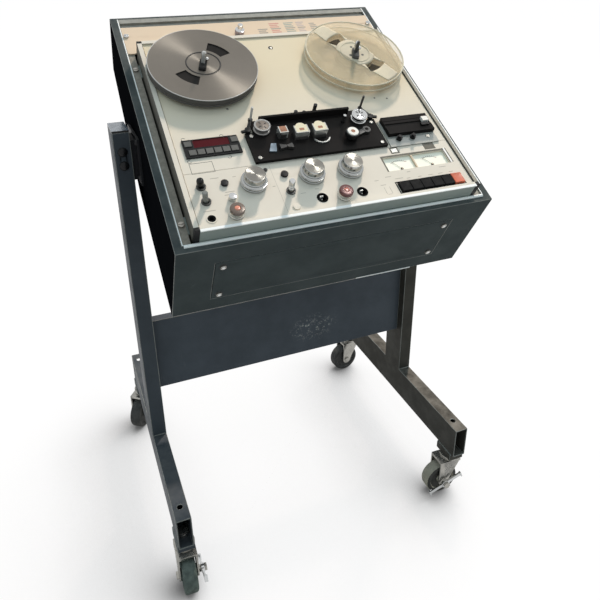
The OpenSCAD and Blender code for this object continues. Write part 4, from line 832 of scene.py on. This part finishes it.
dressed("counter_module", BLACK_GLOSS, DISPLAY_RED, bevel=0.4,
        pick=lambda p, n: np.where(
            (p[1] > 159) & (p[0] > -190.5) & (p[0] < -135.5) & (p[2] < 26.9) & (p[2] > 26), 1, 0))
dressed("push_buttons", GREY_PLASTIC, BLACK_PLASTIC, CHROME, DECK_SILVER, bevel=0.6, curved=True,
        pick=lambda p, n: np.select(
            [p[1] > 130, p[2] > 28.3, (p[1] < 65) & (p[0] < -100), p[1] < 40],
            [0, np.where(p[1] < 65, 2, 1), 2, 3], 1))
dressed("meter_unit", METER_FACE, CREAM, bevel=0.3, pick=lambda p, n: np.where(p[2] > 21.1, 1, 0))
dressed("splice_block", BLACK_COVER, TRAY_GREY, WHITE_CAP, ZINC, BLACK_GLOSS, bevel=0.5,
        pick=lambda p, n: np.select([p[2] < 26.6, (p[2] > 34.1) & (p[1] > 149.5), p[2] > 34.1, p[1] > 133],
                                    [1, 2, 4, 0], np.where(p[0] > 180, 3, 4)))
dressed("sockets", MATTE_BLACK, DARK_GREY, bevel=0.3, curved=True,
        pick=lambda p, n: np.where((p[1] > 50) & (p[1] < 100), 1, 0))

# Cabinet, frame and stand with soft edges


def upward(n):
    """How far a direction in panel axes points up in the stand's."""
    return n[1] * math.sin(TILT) + n[2] * math.cos(TILT)


# The cabinet's faces that look sideways get a far darker colour than its front
dressed("cabinet_shell", PAINT_CABINET, PAINT_SIDES_DARK, bevel=1.2, worn=WORN_EDGE,
        pick=lambda p, n: np.where(np.abs(n[0]) > FACING, 1, 0))
dressed("service_panel", PAINT_CABINET, bevel=0.6)
# The frame's tops have the deck's silver; its front and outer faces, the faces that look left and the top of its
# right rail get darker copies: painted shade
dressed("deck_frame", FRAME_SHADE, DECK_SILVER, RIGHT_RAIL_SHADE, FRAME_SIDE_SHADE, bevel=0.3,
        pick=lambda p, n: np.select(
            [n[0] < -FACING, ((n[1] < -FACING) & (p[1] < 20)) | (np.abs(p[0]) > 225.5), p[0] > 218], [3, 0, 2], 1))
dressed("deck_plate", DECK_CREAM, bevel=0.2)
dressed("control_panel", DECK_SILVER, bevel=0.2)
# The mounting frame's faces above the rim's level are near-white: a painted highlight along the strips' upper edges
dressed("mounting_frame", ALUMINIUM_STRIP, EDGE_HIGHLIGHT_AND_WEAR, RAIL_GREY, bevel=0.2,
        pick=lambda p, n: np.where(p[1] > 480, 2, np.where(p[2] > -0.5, 1, 0)))
dressed("filler_panel", CREAM, bevel=0.3)
dressed("left_side_frame", PAINT_STAND, bevel=1.2, worn=WORN_EDGE)
dressed("right_side_frame", PAINT_WORN, bevel=1.2, worn=WORN_EDGE)
dressed("cross_panel", PAINT_CROSS, bevel=0.9, worn=WORN_EDGE)
dressed("cabinet_brackets", PAINT_BRACKET, bevel=0.6)
# The post caps' upward faces get a painted sky reflection in bluish grey; their other faces are black gloss
dressed("end_caps", BLACK_PLASTIC, BLACK_GLOSS, CAP_TOP_SHEEN, bevel=0.8,
        pick=lambda p, n: np.where(np.abs(p[0]) > 262, np.where(upward(n) > FACING, 2, 1), 0))
dressed("fasteners", ZINC, BLACK_PLASTIC, CHROME, PURPLE_GREY, LIGHT_GREY, bevel=0.3, curved=True,
        pick=lambda p, n: np.select(
            [np.abs(p[0]) > 245, (p[1] > 440) & (p[2] < 12.9) & (np.abs(p[0]) < 100), p[1] > 430,
             (p[1] > 100) & (p[1] < 200)], [1, 3, 2, 4], 0))


def side_face(p, n):
    """Marks the faces of a wheel that look to the front of the stand."""
    return np.where(n[1] * math.cos(TILT) - n[2] * math.sin(TILT) < -FACING, 1, 0)


for corner in ("fl", "fr", "rr", "rl"):
    dressed("caster_fork_" + corner, ZINC, bevel=0.5, curved=True)
dressed("caster_wheel_fl", TYRE_DUSTY, bevel=0.6, curved=True)
dressed("caster_wheel_fr", TYRE_PALE, TYRE_DARK, bevel=0.6, curved=True, pick=side_face)
for corner in ("rr", "rl"):
    dressed("caster_wheel_" + corner, TYRE, bevel=0.6, curved=True)
for corner in ("fl", "fr"):
    dressed("brake_pedal_" + corner, CHROME, bevel=0.6, curved=True)

# Printed marks, and a few bars of painted shade, as thin plain blocks

PRINT, FAINT, PALE, BLACK, OLIVE, GREY = range(6)
marks = Piece("panel_marks", INK, INK_FAINT, INK_WHITE, BLACK_COVER, OLIVE_INK_AND_SHADE, LIGHT_GREY)


def mark(x0, v0, x1, v1, shade=PRINT):
    """One thin bar on the panel: mostly print, a few of painted shade."""
    marks.add(block((x0, v0, DECK - 0.05), (x1, v1, DECK + 0.08)), shade)


def outline(x0, v0, x1, v1, w, shade=PRINT):
    """Four bars round a rectangle, inside its edge."""
    mark(x0, v0, x1, v0 + w, shade)
    mark(x0, v1 - w, x1, v1, shade)
    mark(x0, v0 + w, x0 + w, v1 - w, shade)
    mark(x1 - w, v0 + w, x1, v1 - w, shade)


outline(-205, 112.6, -171, 132.8, 0.6)
outline(110, 100, 125, 113, 2.4, OLIVE)
mark(112.6, 102.6, 122.4, 110.4, GREY)
mark(171, 99.5, 191, 113.5, OLIVE)
mark(-91.3, 20, -90.9, 111, FAINT)
mark(205.4, 67, 207, 98, OLIVE)
mark(202.2, 67, 205.2, 98, PALE)
# Painted shade: dark olive bars along the meter window's left, top and right edges, where its walls fall in shade
for bar in ((200.2, 66.5, 202, 97.5), (87.4, 66, 90, 97.5), (90, 94.2, 200.2, 97.5)):
    mark(*bar, OLIVE)
for x, v, start in ((-201.6, 181.5, 20), (-143.8, 180.4, 0), (-142.9, 137.2, 200), (-202.8, 136.8, 60)):
    loop = [(3.0, DECK - 0.1), (3.0, DECK + 0.15), (2.4, DECK + 0.15), (2.4, DECK - 0.1), (3.0, DECK - 0.1)]
    marks.add(lathe(loop, (x, v), 30, start, 270), PRINT)
outline(88.6, 20.6, 205.8, 44.4, 1.8, BLACK)
for i in range(1, 5):
    x = KEY_X + i * KEY_PITCH
    mark(x - 2.4, 18.2, x + 2.0, 20.4, PALE)
for x in (67.6, 76.6):
    mark(x - 0.4, 25, x + 0.4, 38, FAINT)
mark(68.6, 23.6, 75.6, 24.4, FAINT)

# Where the panel has print: x, v and width of a plain stroke
LEGENDS = [(-182, 100, 12), (-150, 98, 5), (-168, 72, 14), (-170, 67, 9), (-206, 44, 17), (-206, 20, 15),
           (-150, 20, 18), (-98, 70, 4), (-62, 50, 8), (-38, 54, 6), (-10, 18, 10), (58, 52, 7), (64, 42, 9),
           (78, 56, 10), (92, 50, 14), (112, 48, 6), (132, 48, 6), (150, 48, 8), (168, 48, 8), (188, 48, 7),
           (118, 60, 6), (176, 60, 12)]
for x, v, w in LEGENDS:
    mark(x, v, x + w, v + 1.0, FAINT)
marks.place("stand")

# Stacks of strokes on the blank panel: x from, x to, shade and rows
STACKS = ((5, 24, 0, 4), (31, 51, 1, 7), (60, 80, 2, 7), (85, 101, 3, 7), (111, 126, 0, 6))
STACK_V, STACK_PITCH = 444, 5.2
squares = Piece("filler_marks", INK_GREY, INK_RED, INK_GREEN, INK_ROSE)
for x0, x1, shade, rows in STACKS:
    for row in range(rows):
        v = STACK_V + STACK_PITCH * row
        squares.add(block((x0, v, 0.95), (x1 - 2 * (row % 3), v + 3.0, 1.06)), shade if row % 4 < 3 else 0)
squares.place("stand")

METERS, METER_V = {"left": 115.5, "right": 170.5}, 70.5
NEEDLE_LONG, NEEDLE_TURN = 19, 125
SCALE_R, SCALE_WIDE, SCALE_TOP, TICK_R = 17.0, 1.18, 21.12, 18.4
SCALE_ARCS = ((62, 128, 0), (48, 60, 1))
scales = Piece("meter_scales", INK_GREY, INK_RED)
for side, x in METERS.items():
    needle = Piece("needle_%s_thin" % side, NEEDLE_PALE, INK)
    pointer = block((x, METER_V - 0.15, 21.5), (x + NEEDLE_LONG, METER_V + 0.15, 22.0))
    needle.add(turned(pointer, NEEDLE_TURN, (x, METER_V)), 0)
    needle.add(lathe([(0, 21.5), (2.2, 21.5), (2.2, 22.2), (1.4, 22.6), (0, 22.6)], (x, METER_V), 24), 1)
    needle.place("meter_" + side, replaces=("needle_" + side,))
    for start, end, shade in SCALE_ARCS:
        a = np.radians(np.linspace(start, end, 21))[None]
        r = np.array([SCALE_R + 0.35, SCALE_R - 0.35])[:, None]
        high = np.stack([x + SCALE_WIDE * r * np.cos(a), METER_V + r * np.sin(a), np.full((2, 21), SCALE_TOP)], -1)
        low = high - np.array([0, 0, 0.2])
        scales.add(np.concatenate([low[1:], high[1:], high[:1], low[:1], low[1:]])[::-1], shade)
    for angle in range(50, 131, 10):
        a = math.radians(angle)
        tx, tv = x + TICK_R * SCALE_WIDE * math.cos(a), METER_V + TICK_R * math.sin(a)
        scales.add(block((tx - 0.3, tv - 0.9, 20.95), (tx + 0.3, tv + 0.9, SCALE_TOP)), 0)
scales.place("stand")

trim = Piece("deck_screws", ZINC, INK)
PLATE_X, PLATE_H = 101.5, 31.2
SCREWS = [(-119, 236, DECK, 2.2)] + [(x, v, PLATE_H, 2.6) for v in (122, 167) for x in (-PLATE_X, PLATE_X)]
for x, v, h, r in SCREWS:
    trim.add(lathe([(0, h - 0.1), (r, h - 0.1), (r * 0.9, h + 0.3), (0, h + 0.4)], (x, v), 28), 0)
STUD = (-1.4, 376.8)
trim.add(lathe([(0, DECK - 0.1), (4.2, DECK - 0.1), (4.2, DECK + 0.25), (2.2, DECK + 0.3)], STUD, 32), 1)
trim.add(lathe([(2.2, DECK + 0.3), (1.6, DECK + 0.7), (0, DECK + 0.8)], STUD, 32), 0)
for x, v in ((136.6, 227.2), (158.6, 223.2)):
    trim.add(lathe([(0, DECK - 0.1), (1.6, DECK - 0.1), (1.6, DECK + 0.2), (0, DECK + 0.3)], (x, v), 20), 1)
for wing in (((-66, 131), (-55, 134), (-55, 138), (-66, 141)), ((-55, 134), (-45, 130.5), (-45, 141), (-55, 138))):
    trim.add(prism(wing, [(29.9, 0), (29.9, 1), (34.4, 0.94), (34.4, 0)]), 1)
trim.place("stand")

plugs = Piece("socket_inside", LIGHT_GREY, DECK_SILVER)
SOCKETS, PIN_RING, PIN_TURNS = ((-33.0, 37.0), (31.0, 36.5)), 3.4, (60, 150, 240)
for at in SOCKETS:
    for turn in PIN_TURNS:
        pin = turned([[at[0] + PIN_RING, at[1], 0]], turn, at)[0]
        plugs.add(lathe([(0, 16), (0.9, 16), (0.9, 23.6), (0.5, 24.2), (0, 24.3)], pin[:2], 14), 0)
    plugs.add(block((at[0] - 2.6, at[1] + 2.6, 16), (at[0] + 2.6, at[1] + 4.2, 24)), 0)
plugs.add(lathe([(5.9, 25.2), (5.9, 25.42), (7.2, 25.4), (7.4, 25.1), (7.4, 24.4)], (-198, 31), 40)[::-1], 1)
plugs.place("stand")

# Painted highlights as near-white strips: a rounded lip along the front of the cabinet's rim, a line on the frame's
# front top edge and one on its right rail
LIP_X, LIP_V, LIP_R, LIP_STEPS = 240, 10.4, 2.6, 13
lines = Piece("painted_highlight_lines", EDGE_HIGHLIGHT_AND_WEAR)
half_turn = np.radians(np.linspace(0, 180, LIP_STEPS))
lip = np.stack([LIP_V - LIP_R * np.cos(half_turn), LIP_R * np.sin(half_turn) - 0.1], -1)
cap = np.broadcast_to(np.array([LIP_V, 0.8]), lip.shape)
rows = ((LIP_X, cap), (LIP_X, lip), (-LIP_X, lip), (-LIP_X, cap))
lines.add(np.stack([np.column_stack([np.full(LIP_STEPS, x), profile]) for x, profile in rows]))
lines.add(block((-218, 11.6, 25.4), (218, 15.6, 27.1)))
lines.add(block((224.3, 15, 26.5), (226.1, 412, 27.1)))
lines.place("stand")

low = -(RIM[2] - (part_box("cabinet_shell")[0].z * 1000 - SHIFT[2])) / math.cos(TILT)
rubs = Piece("worn_lower_edge", EDGE_HIGHLIGHT_AND_WEAR)
rubs.add(prism([(60, -0.3), (110, -0.7), (165, -0.7), (165, 0.4), (60, 0.4)],
               [(low - 0.3, 0), (low - 0.3, 1), (low + 2.0, 1), (low + 2.0, 0)]))
rubs.place("stand")

screws = Piece("service_screws", INK, CHROME)
SERVICE_X, SERVICE_H = (-184, 184), (-50, -124)
SCREW_RINGS = ([(0, -0.1), (5.4, -0.1), (5.2, 0.3), (2.7, 0.35)], [(2.7, 0.35), (2.4, 3.0), (0, 3.2)])
for x in SERVICE_X:
    for h in SERVICE_H:
        for shade, profile in enumerate(SCREW_RINGS):
            disc = lathe(profile, n=32)
            screws.add(np.stack([x + disc[..., 0], -disc[..., 2], h + disc[..., 1]], -1), shade)
screws.place("stand")

# Stage, light and camera


def background_rays(tree):
    """1 for the rays that see the white background: the camera's, those in gloss and those through clear plastic."""
    path = add_node(tree, "LightPath").outputs
    rays = math_node(tree, "ADD", path["Is Camera Ray"], path["Is Transmission Ray"], True)
    return math_node(tree, "ADD", rays, path["Is Glossy Ray"], True)


# Reach in metres, darkest value and way of the two shadows that the floor shows: one close, one wide
SHADOWS = ((0.26, 0.25, (0.55, 0.1, 0.83)), (0.9, -0.3, (0.78, 0.25, 0.57)))
FLOOR_SIZE, FLOOR_WHITE, FLOOR_SHADE = 40.0, 0.985, (0.1, 0.1, 0.1)
FLOOR_FAINT, FLOOR_MATTE = (0.03, 0.028, 0.027), (0.45, 0.45, 0.44)


def make_stage():
    """A pale floor that is white as a background and keeps the object's shadow."""
    mesh = bpy.data.meshes.new("floor")
    corners = [(x * FLOOR_SIZE, y * FLOOR_SIZE, 0) for x, y in ((-1, -1), (1, -1), (1, 1), (-1, 1))]
    mesh.from_pydata(corners, [], [(0, 1, 2, 3)])
    floor = linked("floor", mesh)
    mat = bpy.data.materials.new("floor_pale")
    mat.use_nodes = True
    tree = mat.node_tree
    tree.nodes.remove(tree.nodes["Principled BSDF"])
    open_sky = 1.0
    for reach, low, toward in SHADOWS:
        way = add_node(tree, "CombineXYZ", enumerate(toward)).outputs[0]
        near = add_node(tree, "AmbientOcclusion", {"Distance": reach, "Normal": way}, samples=24)
        open_sky = math_node(tree, "MULTIPLY", ramp(tree, near.outputs["AO"], low, 1.0), open_sky)
    shade = mix_colour(tree, open_sky, FLOOR_SHADE, WHITE)
    glow = add_node(tree, "Emission", {"Color": shade, "Strength": FLOOR_WHITE}).outputs[0]
    faint = add_node(tree, "BsdfDiffuse", {"Color": FLOOR_FAINT}).outputs[0]
    shown = add_node(tree, "AddShader", {0: glow, 1: faint}).outputs[0]
    matte = add_node(tree, "BsdfDiffuse", {"Color": FLOOR_MATTE}).outputs[0]
    both = add_node(tree, "MixShader", {0: background_rays(tree), 1: matte, 2: shown}).outputs[0]
    tree.links.new(both, tree.nodes["Material Output"].inputs["Surface"])
    paint(mesh, [mat])


AIM = (0, 0, 0.85)
SKY_TINT, SKY_LOW, SKY_RISE = (0.75, 0.907, 1.0), 0.445, 0.35


def area_light(name, at, size, power, colour):
    """A square soft box at a point, turned to look at the cabinet."""
    lamp = bpy.data.lights.new(name, "AREA")
    lamp.shape, lamp.size, lamp.size_y = "RECTANGLE", size, size
    lamp.energy, lamp.color = power, colour
    obj = linked(name, lamp)
    obj.location = at
    way = np.array(AIM, float) - np.array(at, float)
    pitch = math.atan2(math.hypot(way[0], way[1]), -way[2])
    obj.rotation_euler = (pitch, 0, math.atan2(-way[0], way[1]))
    return obj


def make_light():
    """A warm key lamp behind to the right, a small lamp overhead that shows only in gloss, and a cool sky."""
    key = area_light("key", (3.15, 3.6, 5.98), 0.6, 705, (1.0, 0.85, 0.77))
    key.visible_glossy = False
    shine = area_light("overhead", (1.2, -0.3, 3.2), 0.45, 24, (1.0, 0.97, 0.92))
    shine.visible_diffuse = False
    world = bpy.data.worlds.new("studio")
    bpy.context.scene.world = world
    world.use_nodes = True
    tree = world.node_tree
    back = tree.nodes["Background"]
    seen = background_rays(tree)
    tree.links.new(mix_colour(tree, seen, SKY_TINT, WHITE), back.inputs["Color"])
    way = add_node(tree, "TexCoord").outputs["Generated"]
    up = ramp(tree, axis_of(tree, way, "Z"), 0.0, 0.9)
    sky = math_node(tree, "ADD", math_node(tree, "MULTIPLY", up, SKY_RISE), SKY_LOW)
    tree.links.new(math_node(tree, "MAXIMUM", sky, seen), back.inputs["Strength"])


# Place in stand axes, turn in degrees, lens in millimetres and its shift
CAMERA_AT, CAMERA_TURN = (-370.571, -998.874, 1030.642), (66.1432, 0.9175, -21.4222)
LENS, LENS_SHIFT = 36.319, (0.01999, -0.11995)


def make_camera():
    """The photograph's camera, solved from the object's edges."""
    cam = bpy.data.cameras.new("camera")
    cam.sensor_width, cam.lens = 36.0, LENS
    cam.shift_x, cam.shift_y = LENS_SHIFT
    cam.clip_end = 200
    obj = linked("camera", cam)
    obj.location = stand(CAMERA_AT).tolist()
    obj.rotation_euler = [math.radians(a) for a in CAMERA_TURN]
    bpy.context.scene.camera = obj


make_stage()
make_light()
make_camera()
bpy.context.scene.view_settings.view_transform = "Standard"
